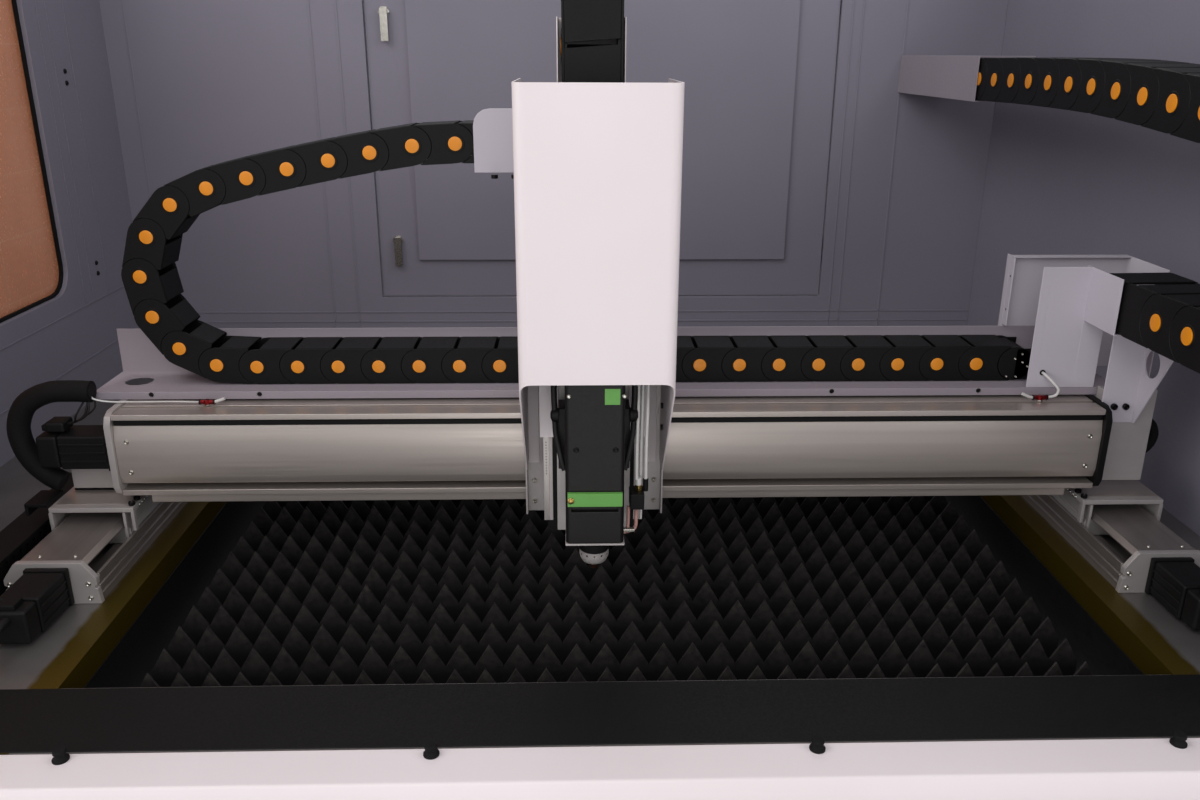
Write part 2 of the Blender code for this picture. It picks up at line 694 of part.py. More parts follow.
def knuckles(side, gap):
    """Knuckles of the door's two hinges: side 1 for the door's, above, and -1 for the wall's, below."""
    centre = (BED_X + DOOR_RIGHT - DOOR_GAP / 2, REAR_OUT)
    made = []
    for level in HINGE_LEVELS:
        near = level + side * (SEAT / 2 - gap)
        far = level + side * (HINGE_LENGTH + gap)
        made.append(disc(centre, HINGE_RADIUS + gap, "Z", min(near, far), max(near, far), SMALL_SIDES))
    return made


def rear_wall(machine):
    """Rear panel between the side walls, with the service opening and the wall's half of the hinges."""
    panel = box((LEFT_FACE + SEAT, RIGHT_FACE - SEAT), (REAR_FACE, REAR_OUT), (CABINET_TOP + SEAT, WALL_TOP))
    opening = box((BED_X + DOOR_LEFT, BED_X + DOOR_RIGHT), (REAR_FACE - OVERRUN, REAR_OUT + OVERRUN),
                  (DOOR_LOW, DOOR_HIGH))
    piece("rear_wall", "grey_enamel", machine, panel, cuts=[opening] + knuckles(1, HINGE_GAP),
          added=knuckles(-1, 0), cut_first=True)


def top_frame(machine):
    """Square tube frame that ties the three walls at the top."""
    frame = box((-HALF_WIDTH, HALF_WIDTH), (-HALF_DEPTH, HALF_DEPTH), (WALL_TOP + SEAT, WALL_TOP + TOP_TUBE))
    middle = box((-HALF_WIDTH + TOP_TUBE, HALF_WIDTH - TOP_TUBE), (-HALF_DEPTH + TOP_TUBE, HALF_DEPTH - TOP_TUBE),
                 (WALL_TOP - OVERRUN, WALL_TOP + TOP_TUBE + OVERRUN))
    piece("top_frame", "grey_enamel", machine, frame, cuts=[middle])


def laser_window(machine):
    """Laser-safe acrylic sheet, set in the middle of the left wall's opening."""
    outline = rounded_rectangle((WINDOW_FRONT + SEAT, WINDOW_REAR - SEAT), (WINDOW_LOW + SEAT, WINDOW_HIGH - SEAT),
                                WINDOW_CORNER - SEAT)
    low, high = around(LEFT_FACE - WALL / 2, WINDOW_SHEET)
    piece("laser_window", "orange_acrylic", machine, prism(outline, "X", low, high))


def rear_door(door):
    """Service door set in the rear wall: a raised inner panel, two lock holes and its half of the hinges."""
    left = BED_X + DOOR_LEFT + DOOR_GAP
    right = BED_X + DOOR_RIGHT - DOOR_GAP
    leaf = box((left, right), (REAR_FACE + DOOR_RIB, REAR_OUT), (DOOR_LOW + DOOR_GAP, DOOR_HIGH - DOOR_GAP))
    border = 2 * LOCK_INSET
    rib = box((left + border, right - border), (REAR_FACE, REAR_FACE + DOOR_RIB + OVERRUN),
              (DOOR_LOW + border, DOOR_HIGH - border))
    holes = [disc((BED_X + DOOR_LEFT + LOCK_INSET, level), LOCK_RADIUS + LOCK_GAP, "Y", REAR_FACE - OVERRUN,
                  REAR_OUT + OVERRUN) for level in LOCK_LEVELS]
    piece("rear_door", "grey_enamel", door, leaf, added=[rib] + knuckles(1, 0),
          cuts=holes + knuckles(-1, HINGE_GAP))


def cam_lock(name, level, turner):
    """Cam lock: barrel through the door, a nut inside and the tongue, which hangs clear of the frame."""
    centre = (BED_X + DOOR_LEFT + LOCK_INSET, level)
    face = REAR_FACE + DOOR_RIB - SEAT
    barrel = disc(centre, LOCK_RADIUS, "Y", face - LOCK_STAND, REAR_OUT)
    nut = disc(centre, LOCK_NUT, "Y", face - LOCK_STAND / 2, face, 6)
    tongue = box(around(centre[0], TONGUE_WIDTH), around(face - LOCK_STAND, TONGUE_THICKNESS),
                 (level - TONGUE_LENGTH, level + TONGUE_WIDTH / 2))
    piece(name, "zinc", turner, barrel, added=[nut, tongue])


# Linear modules

def groove_side(side):
    """The outer side of the extrusion, from its foot to its top, with one T-groove mouth."""
    low, high = around(GROOVE_LEVEL, MODULE_GROOVE)
    depth = MODULE_HALF - GROOVE_DEPTH
    return [(side * MODULE_HALF, 0), (side * MODULE_HALF, low), (side * depth, low), (side * depth, high),
            (side * MODULE_HALF, high), (side * MODULE_HALF, MODULE_HEIGHT)]


def module_outline():
    """U section of the extrusion, across and out from its seat."""
    inner = MODULE_HALF - MODULE_WALL
    right = groove_side(1) + [(inner, MODULE_HEIGHT), (inner, MODULE_FLOOR)]
    return right + mirrored(right)


def cover_outline():
    """Section of the cover plate that floats over the U between its end plates."""
    low = MODULE_HEIGHT - COVER_THICKNESS
    right = [(COVER_HALF, low), (COVER_HALF, MODULE_HEIGHT - COVER_CHAMFER),
             (COVER_HALF - COVER_SLOPE, MODULE_HEIGHT)]
    return right + mirrored(right)


def end_outline(crown):
    """End plate, a little wider than the section and higher by its crown, with its outer corners cut back."""
    half = MODULE_HALF + END_OVERHANG
    top = MODULE_HEIGHT + crown
    right = [(half, 0), (half, top - END_CORNER), (half - END_CORNER / 3, top - END_CORNER / 3),
             (half - END_CORNER, top)]
    return right + mirrored(right)


def saddle_outline(reach):
    """Outline of a carriage: the block inside the U, with legs up to a plate at the given reach."""
    leg = COVER_HALF + SLOT_WIDTH / 2 + LEG_THICKNESS / 2
    block = MODULE_HALF - MODULE_WALL - BLOCK_GAP / 2
    right = [(block, BLOCK_LOW), (block, BLOCK_HIGH), (leg, BLOCK_HIGH), (leg, reach)]
    return right + mirrored(right)


def saddle_hole(reach):
    """The space of the cover plate inside the carriage."""
    half = COVER_HALF + SLOT_WIDTH / 2 - LEG_THICKNESS / 2
    return ((half, BLOCK_HIGH), (half, reach), (-half, reach), (-half, BLOCK_HIGH))


def placed(outline, across, out, turn):
    """Moves a module section to its seat: turn 'up' leaves from the bed, 'side' from a wall behind, 'face' likewise."""
    if turn == "up":
        return [(across + a, out + b) for a, b in outline]
    if turn == "side":
        return [(out - b, across + a) for a, b in outline]
    return [(across + a, out - b) for a, b in outline]


def y_module(machine, side, label):
    """One Y module: extrusion, floating cover plate, end plate and servo motor."""
    centre = BED_X + side * Y_MODULE_X
    front = Y_MODULE_FRONT + END_THICKNESS + SEAT

    def seat(outline):
        return placed(outline, centre, Y_MODULE_BASE, "up")

    rear_end = prism(seat(end_outline(END_CROWN)), "Y", Y_MODULE_REAR - END_THICKNESS, Y_MODULE_REAR)
    rail = prism(seat(module_outline()), "Y", front, Y_MODULE_REAR - END_THICKNESS + OVERRUN)
    piece(f"y_module_{label}", "brushed_aluminium", machine, rail, added=[rear_end])
    cover = prism(seat(cover_outline()), "Y", front, Y_MODULE_REAR - END_THICKNESS - SEAT)
    piece(f"y_cover_{label}", "brushed_aluminium", machine, cover)
    end = prism(seat(end_outline(END_CROWN)), "Y", Y_MODULE_FRONT, Y_MODULE_FRONT + END_THICKNESS)
    piece(f"y_end_{label}", "cast_plate", machine, end)
    level = Y_MODULE_BASE + MODULE_HEIGHT / 2
    rear = Y_MODULE_FRONT - SEAT
    split = rear - MOTOR_LENGTH + MOTOR_CAP
    body = box(around(centre, MOTOR_SIDE), (split, rear), around(level, MOTOR_SIDE))
    cap_side = MOTOR_SIDE - 2 * MOTOR_CAP_STEP
    cap = box(around(centre, cap_side), (rear - MOTOR_LENGTH, split + OVERRUN), around(level, cap_side))
    plug = box(around(centre, PLUG_SIDE), (rear - MOTOR_LENGTH + MOTOR_CAP_STEP, split),
               (level, level + MOTOR_SIDE / 2 + MOTOR_CAP_STEP))
    piece(f"y_motor_{label}", "black_plastic", machine, body, added=[cap, plug])


def y_carriage(gantry, side, label):
    """Saddle carriage of the Y axis; its plate reaches further towards the beam."""
    centre = BED_X + side * Y_MODULE_X
    rear = Y_CARRIAGE_FRONT + Y_CARRIAGE_LENGTH
    reach = MODULE_HEIGHT + RUNNING_GAP + Y_PLATE / 2
    saddle = prism(placed(saddle_outline(reach), centre, Y_MODULE_BASE, "up"), "Y", Y_CARRIAGE_FRONT, rear)
    plate_x = sorted((centre - side * Y_PLATE_INNER, centre + side * Y_PLATE_OUTER))
    plate = box(plate_x, (Y_CARRIAGE_FRONT, rear), (Y_PLATE_LOW, Y_PLATE_LOW + Y_PLATE))
    hole = prism(placed(saddle_hole(MODULE_HEIGHT + RUNNING_GAP), centre, Y_MODULE_BASE, "up"), "Y",
                 Y_CARRIAGE_FRONT - OVERRUN, rear + OVERRUN)
    piece(f"y_carriage_{label}", "cast_plate", gantry, saddle, added=[plate], cuts=[hole])


# Gantry

def gantry_beam(gantry):
    """Rectangular beam that carries the X module, relieved along its underside."""
    middle = (BEAM_FRONT + BEAM_REAR) / 2
    outline = ((BEAM_FRONT, BEAM_LOW), (middle - BEAM_RECESS, BEAM_LOW),
               (middle - BEAM_RECESS, BEAM_LOW + BEAM_RELIEF), (middle + BEAM_RECESS, BEAM_LOW + BEAM_RELIEF),
               (middle + BEAM_RECESS, BEAM_LOW), (BEAM_REAR, BEAM_LOW), (BEAM_REAR, BEAM_TOP),
               (BEAM_FRONT, BEAM_TOP))
    piece("gantry_beam", "brushed_aluminium", gantry, prism(outline, "X", BED_X - BEAM_HALF, BED_X + BEAM_HALF))


def x_module(gantry):
    """X module on its side, cover plate to the front, with an end plate at each end and the motor at the left."""
    left = BED_X - X_MODULE_HALF
    right = BED_X + X_MODULE_HALF

    def seat(outline):
        return placed(outline, X_MODULE_Z, X_MODULE_BACK, "side")

    piece("x_module", "brushed_aluminium", gantry, prism(seat(module_outline()), "X", left + SEAT, right - SEAT))
    piece("x_cover", "brushed_aluminium", gantry, prism(seat(cover_outline()), "X", left + SEAT, right - SEAT))
    for label, start, end in (("left", left - END_THICKNESS, left), ("right", right, right + END_THICKNESS)):
        piece(f"x_end_{label}", "cast_plate", gantry, prism(seat(end_outline(END_CROWN)), "X", start, end))
    centre_y = X_MODULE_BACK - MODULE_HEIGHT / 2
    start = left - END_THICKNESS - SEAT
    split = start - MOTOR_LENGTH + MOTOR_CAP
    body = box((split, start), around(centre_y, MOTOR_SIDE), around(X_MODULE_Z, MOTOR_SIDE))
    cap_side = MOTOR_SIDE - 2 * MOTOR_CAP_STEP
    cap = box((start - MOTOR_LENGTH, split + OVERRUN), around(centre_y, cap_side), around(X_MODULE_Z, cap_side))
    plug = box((split, split + PLUG_LENGTH), around(centre_y, PLUG_SIDE),
               (X_MODULE_Z - MOTOR_SIDE / 2 - PLUG_DROP, X_MODULE_Z))
    piece("x_motor", "black_plastic", gantry, body, added=[cap, plug])


def chain_tray(gantry):
    """Folded tray that the X chain lies in; its front lip stands on the X module's end plates."""
    foot = X_MODULE_TOP + END_OVERHANG + SEAT
    outline = ((TRAY_FRONT, foot), (TRAY_FRONT + SHEET, foot),
               (TRAY_FRONT + SHEET, TRAY_FLOOR - SHEET), (TRAY_BACK, TRAY_FLOOR - SHEET),
               (TRAY_BACK, TRAY_FLOOR + TRAY_WALL), (TRAY_BACK - SHEET, TRAY_FLOOR + TRAY_WALL),
               (TRAY_BACK - SHEET, TRAY_FLOOR), (TRAY_FRONT, TRAY_FLOOR))
    hole = disc((BED_X + TRAY_HOLE_X, (TRAY_FRONT + TRAY_BACK) / 2), TRAY_HOLE, "Z", foot,
                TRAY_FLOOR + OVERRUN, SMALL_SIDES)
    piece("chain_tray", "white_enamel", gantry, prism(outline, "X", BED_X - TRAY_HALF, BED_X + TRAY_HALF),
          cuts=[hole])


def chain_guard(gantry):
    """Tall guard plate at the tray's right end, folded forward round the Y chain's foot."""
    back = TRAY_BACK + SEAT
    right = BED_X + GUARD_RIGHT
    plan = ((BED_X + GUARD_LEFT, back), (right - SHEET, back), (right - SHEET, GUARD_FRONT), (right, GUARD_FRONT),
            (right, back + SHEET), (BED_X + GUARD_LEFT + SHEET, back + SHEET),
            (BED_X + GUARD_LEFT + SHEET, back + GUARD_FLANGE), (BED_X + GUARD_LEFT, back + GUARD_FLANGE))
    piece("chain_guard", "white_enamel", gantry, prism(plan, "Z", TRAY_FLOOR, GUARD_TOP))


def chain_post(gantry):
    """Post on the tray's front edge with a short trough that holds the Y chain's moving end."""
    left = BED_X + Y_CHAIN_LEFT - CAP_PROUD - SEAT - SHEET
    right = BED_X + GUARD_RIGHT - SHEET - SEAT
    rear = X_MODULE_BACK
    post = box((BED_X + POST_LEFT, left + SHEET), (TRAY_FRONT, TRAY_FRONT + SHEET), (TRAY_FLOOR + SEAT, POST_TOP))
    wall = box((left, left + SHEET), (ARM_FRONT, rear), (ARM_FLOOR - SHEET, POST_TOP))
    floor = box((left, right), (ARM_FRONT, rear), (ARM_FLOOR - SHEET, ARM_FLOOR))
    piece("chain_post", "white_enamel", gantry, post, added=[wall, floor])


def end_bracket(gantry):
    """Aluminium bracket on the right end plate; the gusset is bolted to its front."""
    left = BED_X + X_MODULE_HALF + END_THICKNESS + SEAT
    rear = X_MODULE_BACK - MODULE_HEIGHT / 2
    foot = BRACKET_THICKNESS
    outline = ((left, rear), (left, rear - BRACKET_THICKNESS), (BED_X + BRACKET_RIGHT, rear - BRACKET_THICKNESS),
               (BED_X + BRACKET_RIGHT, rear), (left + foot, rear), (left + foot, rear + 2 * foot),
               (left, rear + 2 * foot))
    piece("end_bracket", "brushed_aluminium", gantry, prism(outline, "Z", X_MODULE_LOW, BRACKET_TOP))


def gusset_bracket(gantry):
    """Folded gusset under the chain post's arm, with an oval hole in its web."""
    rear = X_MODULE_BACK - MODULE_HEIGHT / 2 - BRACKET_THICKNESS - SEAT
    top = ARM_FLOOR - SHEET - SEAT
    web_outline = ((rear, GUSSET_LOW), (rear, top), (GUSSET_FRONT, top), (GUSSET_FRONT, top - GUSSET_NOSE),
                   (rear - GUSSET_SHEET, GUSSET_LOW))
    web = prism(web_outline, "X", BED_X + GUSSET_X, BED_X + GUSSET_X + GUSSET_SHEET)
    flange = box(around(BED_X + GUSSET_X, GUSSET_FLANGE), (rear - GUSSET_SHEET, rear),
                 (GUSSET_LOW, GUSSET_FLANGE_TOP))
    cap = box(around(BED_X + GUSSET_X, GUSSET_FLANGE), (GUSSET_FRONT, rear), (top - GUSSET_SHEET, top))
    oval = arc((GUSSET_HOLE_Y, GUSSET_HOLE_LEVEL + GUSSET_HOLE_LONG / 2), GUSSET_HOLE, 0, 180, 5)
    oval += arc((GUSSET_HOLE_Y, GUSSET_HOLE_LEVEL - GUSSET_HOLE_LONG / 2), GUSSET_HOLE, 180, 360, 5)
    hole = prism(oval, "X", BED_X + GUSSET_X - OVERRUN, BED_X + GUSSET_X + GUSSET_SHEET + OVERRUN)
    piece("gusset_bracket", "white_enamel", gantry, web, added=[flange, cap], cuts=[hole])


def motor_conduit(gantry):
    """Thick conduit that loops from the tray's left end to the X motor."""
    curve = bpy.data.curves.new("motor_conduit", "CURVE")
    curve.dimensions = "3D"
    curve.bevel_depth = CONDUIT_RADIUS
    curve.bevel_resolution = 2
    curve.use_fill_caps = True
    line = curve.splines.new("POLY")
    line.points.add(len(CONDUIT_ROUTE) - 1)
    for point, place in zip(line.points, CONDUIT_ROUTE):
        point.co = (BED_X - X_MODULE_HALF + place[0], place[1], place[2], 1)
    made = bpy.data.objects.new("motor_conduit", curve)
    bpy.context.scene.collection.objects.link(made)
    made.data.materials.append(finish_material("black_plastic"))
    made.parent = gantry
    made.matrix_parent_inverse = gantry.matrix_world.inverted()


# Cable chains

def along_line(start, heading, pitch, links):
    """Pins of a straight run, from a start point in a heading."""
    return [(start[0] + heading[0] * pitch * k, start[1] + heading[1] * pitch * k) for k in range(links + 1)]


def turn_of(pins):
    """Signed angle from one link to the next; zero on a straight run."""
    if len(pins) < 3:
        return 0
    headings = [math.atan2(b[1] - a[1], b[0] - a[0]) for a, b in zip(pins, pins[1:])]
    turn = headings[1] - headings[0]
    return math.atan2(math.sin(turn), math.cos(turn))


def pin_normals(pins):
    """Direction across the run at each pin: halfway between the two links that meet there."""
    turn = turn_of(pins)
    headings = [math.atan2(b[1] - a[1], b[0] - a[0]) for a, b in zip(pins, pins[1:])]
    across = [heading - turn / 2 for heading in headings] + [headings[-1] + turn / 2]
    return [(-math.sin(angle), math.cos(angle)) for angle in across]


def notched(pins, height):
    """Closed outline of a side strip: level along each link, with a notch at each pin."""
    normals = pin_normals(pins)
    shallow = height / 2 - NOTCH_DEPTH
    overlap = height / 2 * math.tan(abs(turn_of(pins)) / 2)
    top = []
    bottom = []
    for index, pin in enumerate(pins):
        normal = normals[index]
        top.append((pin[0] + normal[0] * shallow, pin[1] + normal[1] * shallow))
        bottom.append((pin[0] - normal[0] * shallow, pin[1] - normal[1] * shallow))
        if index == len(pins) - 1:
            continue
        after = pins[index + 1]
        length = math.dist(pin, after)
        along = ((after[0] - pin[0]) / length, (after[1] - pin[1]) / length)
        notch = max(NOTCH_SHARE * length, NOTCH_CLEAR_SHARE * overlap)
        for reach in (notch, length - notch):
            spot = (pin[0] + along[0] * reach, pin[1] + along[1] * reach)
            top.append((spot[0] - along[1] * height / 2, spot[1] + along[0] * height / 2))
            bottom.append((spot[0] + along[1] * height / 2, spot[1] - along[0] * height / 2))
    return top + bottom[::-1]


def cross_bars(pins, height, axis, low, high, every):
    """Two bars across every link, or every second one, at the two edges of the strips."""
    bars = []
    for first, second in list(zip(pins, pins[1:]))[::every]:
        length = math.dist(first, second)
        along = ((second[0] - first[0]) / length, (second[1] - first[1]) / length)
        normal = (-along[1], along[0])
        middle = ((first[0] + second[0]) / 2, (first[1] + second[1]) / 2)
        half = BAR_SHARE * length / 2
        for side in (-1, 1):
            levels = (side * (height / 2 - BAR_HEIGHT), side * (height / 2 + BAR_PROUD))
            corners = ((-half, levels[0]), (half, levels[0]), (half, levels[1]), (-half, levels[1]))
            outline = [(middle[0] + along[0] * a + normal[0] * b, middle[1] + along[1] * a + normal[1] * b)
                       for a, b in corners]
            bars.append(prism(outline, axis, low, high))
    return bars


def chain_run(name, carrier, pins, height, axis, near, far, every=2, capped=True):
    """One run of a cable chain: two side strips, bars across its links and a round cap on each inner pin."""
    outline = notched(pins, height)
    first_strip = prism(outline, axis, near, near + PLATE_THICKNESS)
    second_strip = prism(outline, axis, far - PLATE_THICKNESS, far)
    inset = PLATE_THICKNESS / 2
    bars = cross_bars(pins, height, axis, near + inset, far - inset, every)
    caps = [disc(pin, CAP_RADIUS, axis, near - CAP_PROUD, near + inset, CAP_SIDES) for pin in pins[1:-1] if capped]
    piece(name, "black_plastic", carrier, first_strip, added=[second_strip] + bars + caps)


def shortened(pins, start, end):
    """Pins with the two ends drawn in a little, so that neighbouring runs meet face to face."""
    trimmed = list(pins)
    for index, other in ((0, 1), (-1, -2)):
        amount = start if index == 0 else end
        length = math.dist(trimmed[index], trimmed[other])
        share = amount / length
        trimmed[index] = tuple(a + (b - a) * share for a, b in zip(trimmed[index], trimmed[other]))
    return trimmed


def x_chain(gantry, carriage, low_bend, high_bend):
    """X chain: the run in the tray, the loop at the left in two halves, and the run up to the head's bracket."""
    near = X_CHAIN_FRONT
    far = X_CHAIN_BACK
    bend = (BED_X + X_BEND_X, X_CHAIN_LEVEL + X_CHAIN_RADIUS)
    lower = along_line((bend[0], X_CHAIN_LEVEL), (1, 0), X_CHAIN_PITCH, X_CHAIN_LINKS)
    total = sum(X_BEND_LINKS)
    loop = arc(bend, X_CHAIN_RADIUS, 270, 90 + math.degrees(X_CHAIN_RISE), total)
    upper = along_line(loop[-1], (math.cos(X_CHAIN_RISE), math.sin(X_CHAIN_RISE)), X_CHAIN_PITCH, X_UPPER_LINKS)
    split = X_BEND_LINKS[0]
    for name, carrier, pins in (("x_chain_lower", gantry, lower), ("x_chain_bend_low", low_bend, loop[:split + 1]),
                                ("x_chain_bend_high", high_bend, loop[split:]), ("x_chain_upper", carriage, upper)):
        chain_run(name, carrier, shortened(pins, SEAT, SEAT), X_CHAIN_HEIGHT, "Y", near, far)


def y_chain(machine, gantry, low_bend, high_bend):
    """Y chain: the run from the gantry's post, the loop at the front in two halves, and the run on the wall shelf."""
    near = BED_X + Y_CHAIN_LEFT
    far = BED_X + Y_CHAIN_RIGHT
    bend = (Y_BEND_Y, Y_CHAIN_LEVEL + Y_CHAIN_RADIUS)
    lower = along_line((Y_BEND_Y, Y_CHAIN_LEVEL), (1, 0), Y_CHAIN_PITCH, Y_LOWER_LINKS)
    upper = along_line((Y_BEND_Y, Y_CHAIN_LEVEL + 2 * Y_CHAIN_RADIUS), (1, 0), Y_CHAIN_PITCH, Y_UPPER_LINKS)
    loop = arc(bend, Y_CHAIN_RADIUS, 270, 90, sum(Y_BEND_LINKS))
    split = Y_BEND_LINKS[0]
    for name, carrier, pins in (("y_chain_lower", gantry, lower), ("y_chain_bend_low", low_bend, loop[:split + 1]),
                                ("y_chain_bend_high", high_bend, loop[split:]), ("y_chain_upper", machine, upper)):
        chain_run(name, carrier, shortened(pins, SEAT, SEAT), Y_CHAIN_HEIGHT, "X", near, far)


def z_chain(carriage, head, front_bend, back_bend):
    """Z chain: up from the head, over, and down to the top of the carriage's plate."""
    near, far = around(BED_X + Z_CHAIN_X, X_CHAIN_WIDTH)
    bend = (Z_CHAIN_Y + Z_CHAIN_RADIUS, Z_BEND_LEVEL)
    front = along_line((Z_CHAIN_Y, Z_BEND_LEVEL), (0, -1), X_CHAIN_PITCH, Z_FRONT_LINKS)
    back = along_line((Z_BACK_Y, Z_BEND_LEVEL), (0, -1), X_CHAIN_PITCH, Z_BACK_LINKS)
    loop = arc(bend, Z_CHAIN_RADIUS, 180, 0, sum(Z_BEND_LINKS))
    split = Z_BEND_LINKS[0]
    for name, carrier, pins in (("z_chain_front", head, front), ("z_chain_bend_front", front_bend, loop[:split + 1]),
                                ("z_chain_bend_back", back_bend, loop[split:]), ("z_chain_back", carriage, back)):
        chain_run(name, carrier, shortened(pins, SEAT, 0), X_CHAIN_HEIGHT, "X", near, far, every=1, capped=False)


def chain_shelf(machine):
    """Trough on the rear wall that the Y chain's fixed run lies in."""
    left = BED_X + Y_CHAIN_LEFT - CAP_PROUD - SEAT
    right = BED_X + Y_CHAIN_RIGHT + RUNNING_GAP
    low = SHELF_FLOOR - SHEET
    top = SHELF_FLOOR + SHELF_WALL
    outline = ((left - SHEET, top), (left - SHEET, low), (right + SHEET, low), (right + SHEET, top), (right, top),
               (right, SHELF_FLOOR), (left, SHELF_FLOOR), (left, top))
    piece("chain_shelf", "white_enamel", machine, prism(outline, "Y", SHELF_FRONT, REAR_FACE - SEAT))


# X carriage

def x_carriage(carriage):
    """Saddle on the X module with the tall plate that carries the head, its long edges folded forward."""
    centre = BED_X + HEAD_X
    reach = X_MODULE_BACK - (CARRIAGE_FRONT + CARRIAGE_REAR) / 2
    start, end = around(centre, CARRIAGE_LENGTH)
    saddle = prism(placed(saddle_outline(reach), X_MODULE_Z, X_MODULE_BACK, "side"), "X", start, end)
    left = BED_X + CARRIAGE_LEFT
    right = BED_X + CARRIAGE_RIGHT
    edge = CARRIAGE_FRONT - CARRIAGE_FLANGE_DEPTH
    plan = ((left, CARRIAGE_REAR), (left, edge), (left + CARRIAGE_FLANGE, edge),
            (left + CARRIAGE_FLANGE, CARRIAGE_FRONT), (right - CARRIAGE_FLANGE, CARRIAGE_FRONT),
            (right - CARRIAGE_FLANGE, edge), (right, edge), (right, CARRIAGE_REAR))
    plate = prism(plan, "Z", CARRIAGE_LOW, CARRIAGE_HIGH)
    hole = prism(placed(saddle_hole(X_MODULE_BACK - CARRIAGE_REAR), X_MODULE_Z, X_MODULE_BACK, "side"), "X",
                 start - OVERRUN, end + OVERRUN)
    piece("x_carriage", "white_enamel", carriage, saddle, added=[plate], cuts=[hole])


def head_cover(carriage):
    """Folded cover over the head: round vertical folds, open below and behind, with a wing down each side."""
    left = BED_X + CARRIAGE_LEFT + CARRIAGE_FLANGE + SEAT
    right = BED_X + CARRIAGE_RIGHT - CARRIAGE_FLANGE - SEAT
    rear = CARRIAGE_FRONT - SEAT
    outer = [(left, rear)] + arc((left + COVER_ROUND, COVER_FRONT + COVER_ROUND), COVER_ROUND, 180, 270, 3)
    outer += arc((right - COVER_ROUND, COVER_FRONT + COVER_ROUND), COVER_ROUND, 270, 360, 3) + [(right, rear)]
    inner_round = COVER_ROUND - COVER_SHEET
    inner = [(right - COVER_SHEET, rear)]
    inner += arc((right - COVER_ROUND, COVER_FRONT + COVER_ROUND), inner_round, 360, 270, 3)
    inner += arc((left + COVER_ROUND, COVER_FRONT + COVER_ROUND), inner_round, 270, 180, 3)
    inner += [(left + COVER_SHEET, rear)]
    wing = rear - WING_DEPTH
    below = ((COVER_FRONT - OVERRUN, COVER_LOW), (wing - WING_TAPER, COVER_LOW), (wing, WING_LOW + WING_TAPER),
             (wing + WING_TAPER / 2, WING_LOW - OVERRUN), (COVER_FRONT - OVERRUN, WING_LOW - OVERRUN))
    piece("head_cover", "white_enamel", carriage, prism(outer + inner, "Z", WING_LOW, COVER_HIGH),
          cuts=[prism(below, "X", left - OVERRUN, right + OVERRUN)])


def chain_bracket(carriage):
    """Bracket from the carriage's plate back over the tray, with a round-cornered plate at the X chain's end."""
    left = BED_X + CHAIN_BRACKET_LEFT
    right = BED_X + CHAIN_BRACKET_RIGHT
    face = X_CHAIN_FRONT - CAP_PROUD - SEAT
    round_centre = (left + CHAIN_BRACKET_ROUND, CHAIN_BRACKET_HIGH - CHAIN_BRACKET_ROUND)
    outline = [(left, CHAIN_BRACKET_LOW), (right, CHAIN_BRACKET_LOW), (right, CHAIN_BRACKET_HIGH)]
    outline += arc(round_centre, CHAIN_BRACKET_ROUND, 90, 180, 4)
    plate = prism(outline, "Y", face - CHAIN_BRACKET_SHEET, face)
    shelf = box((BED_X + CARRIAGE_LEFT + CARRIAGE_FLANGE, right), (CARRIAGE_REAR + SEAT, face),
                (CHAIN_BRACKET_LOW, CHAIN_BRACKET_LOW + CHAIN_BRACKET_SHEET))
    foot = box((BED_X + CARRIAGE_LEFT + CARRIAGE_FLANGE, right),
               (CARRIAGE_REAR + SEAT, CARRIAGE_REAR + SEAT + CHAIN_BRACKET_SHEET),
               (CHAIN_BRACKET_LOW - CHAIN_BRACKET_ROUND, CHAIN_BRACKET_LOW + CHAIN_BRACKET_SHEET))
    piece("chain_bracket", "white_enamel", carriage, plate, added=[shelf, foot])


def z_module(carriage):
    """Z module on the carriage's plate: extrusion, end plates, the cover plate they hold, and the motor on top."""
    centre = BED_X + HEAD_X

    def seat(outline):
        return placed(outline, centre, Z_MODULE_BACK, "face")

    rail = prism(seat(module_outline()), "Z", Z_MODULE_LOW + END_THICKNESS - OVERRUN,
                 Z_MODULE_HIGH - END_THICKNESS + OVERRUN)
    cover = prism(seat(cover_outline()), "Z", Z_MODULE_LOW + END_THICKNESS - OVERRUN,
                  Z_MODULE_HIGH - END_THICKNESS + OVERRUN)
    bottom = prism(seat(end_outline(0)), "Z", Z_MODULE_LOW, Z_MODULE_LOW + END_THICKNESS)
    top = prism(seat(end_outline(0)), "Z", Z_MODULE_HIGH - END_THICKNESS, Z_MODULE_HIGH)
    piece("z_module", "brushed_aluminium", carriage, rail, added=[cover, bottom, top])
    centre_y = Z_MODULE_BACK - MODULE_HEIGHT / 2
    low = Z_MODULE_HIGH + SEAT
    body = box(around(centre, MOTOR_SIDE), around(centre_y, MOTOR_SIDE), (low, low + MOTOR_LENGTH - MOTOR_CAP))
    cap_side = MOTOR_SIDE - 2 * MOTOR_CAP_STEP
    cap = box(around(centre, cap_side), around(centre_y, cap_side),
              (low + MOTOR_LENGTH - MOTOR_CAP - OVERRUN, low + MOTOR_LENGTH))
    piece("z_motor", "black_plastic", carriage, body, added=[cap])


# Head

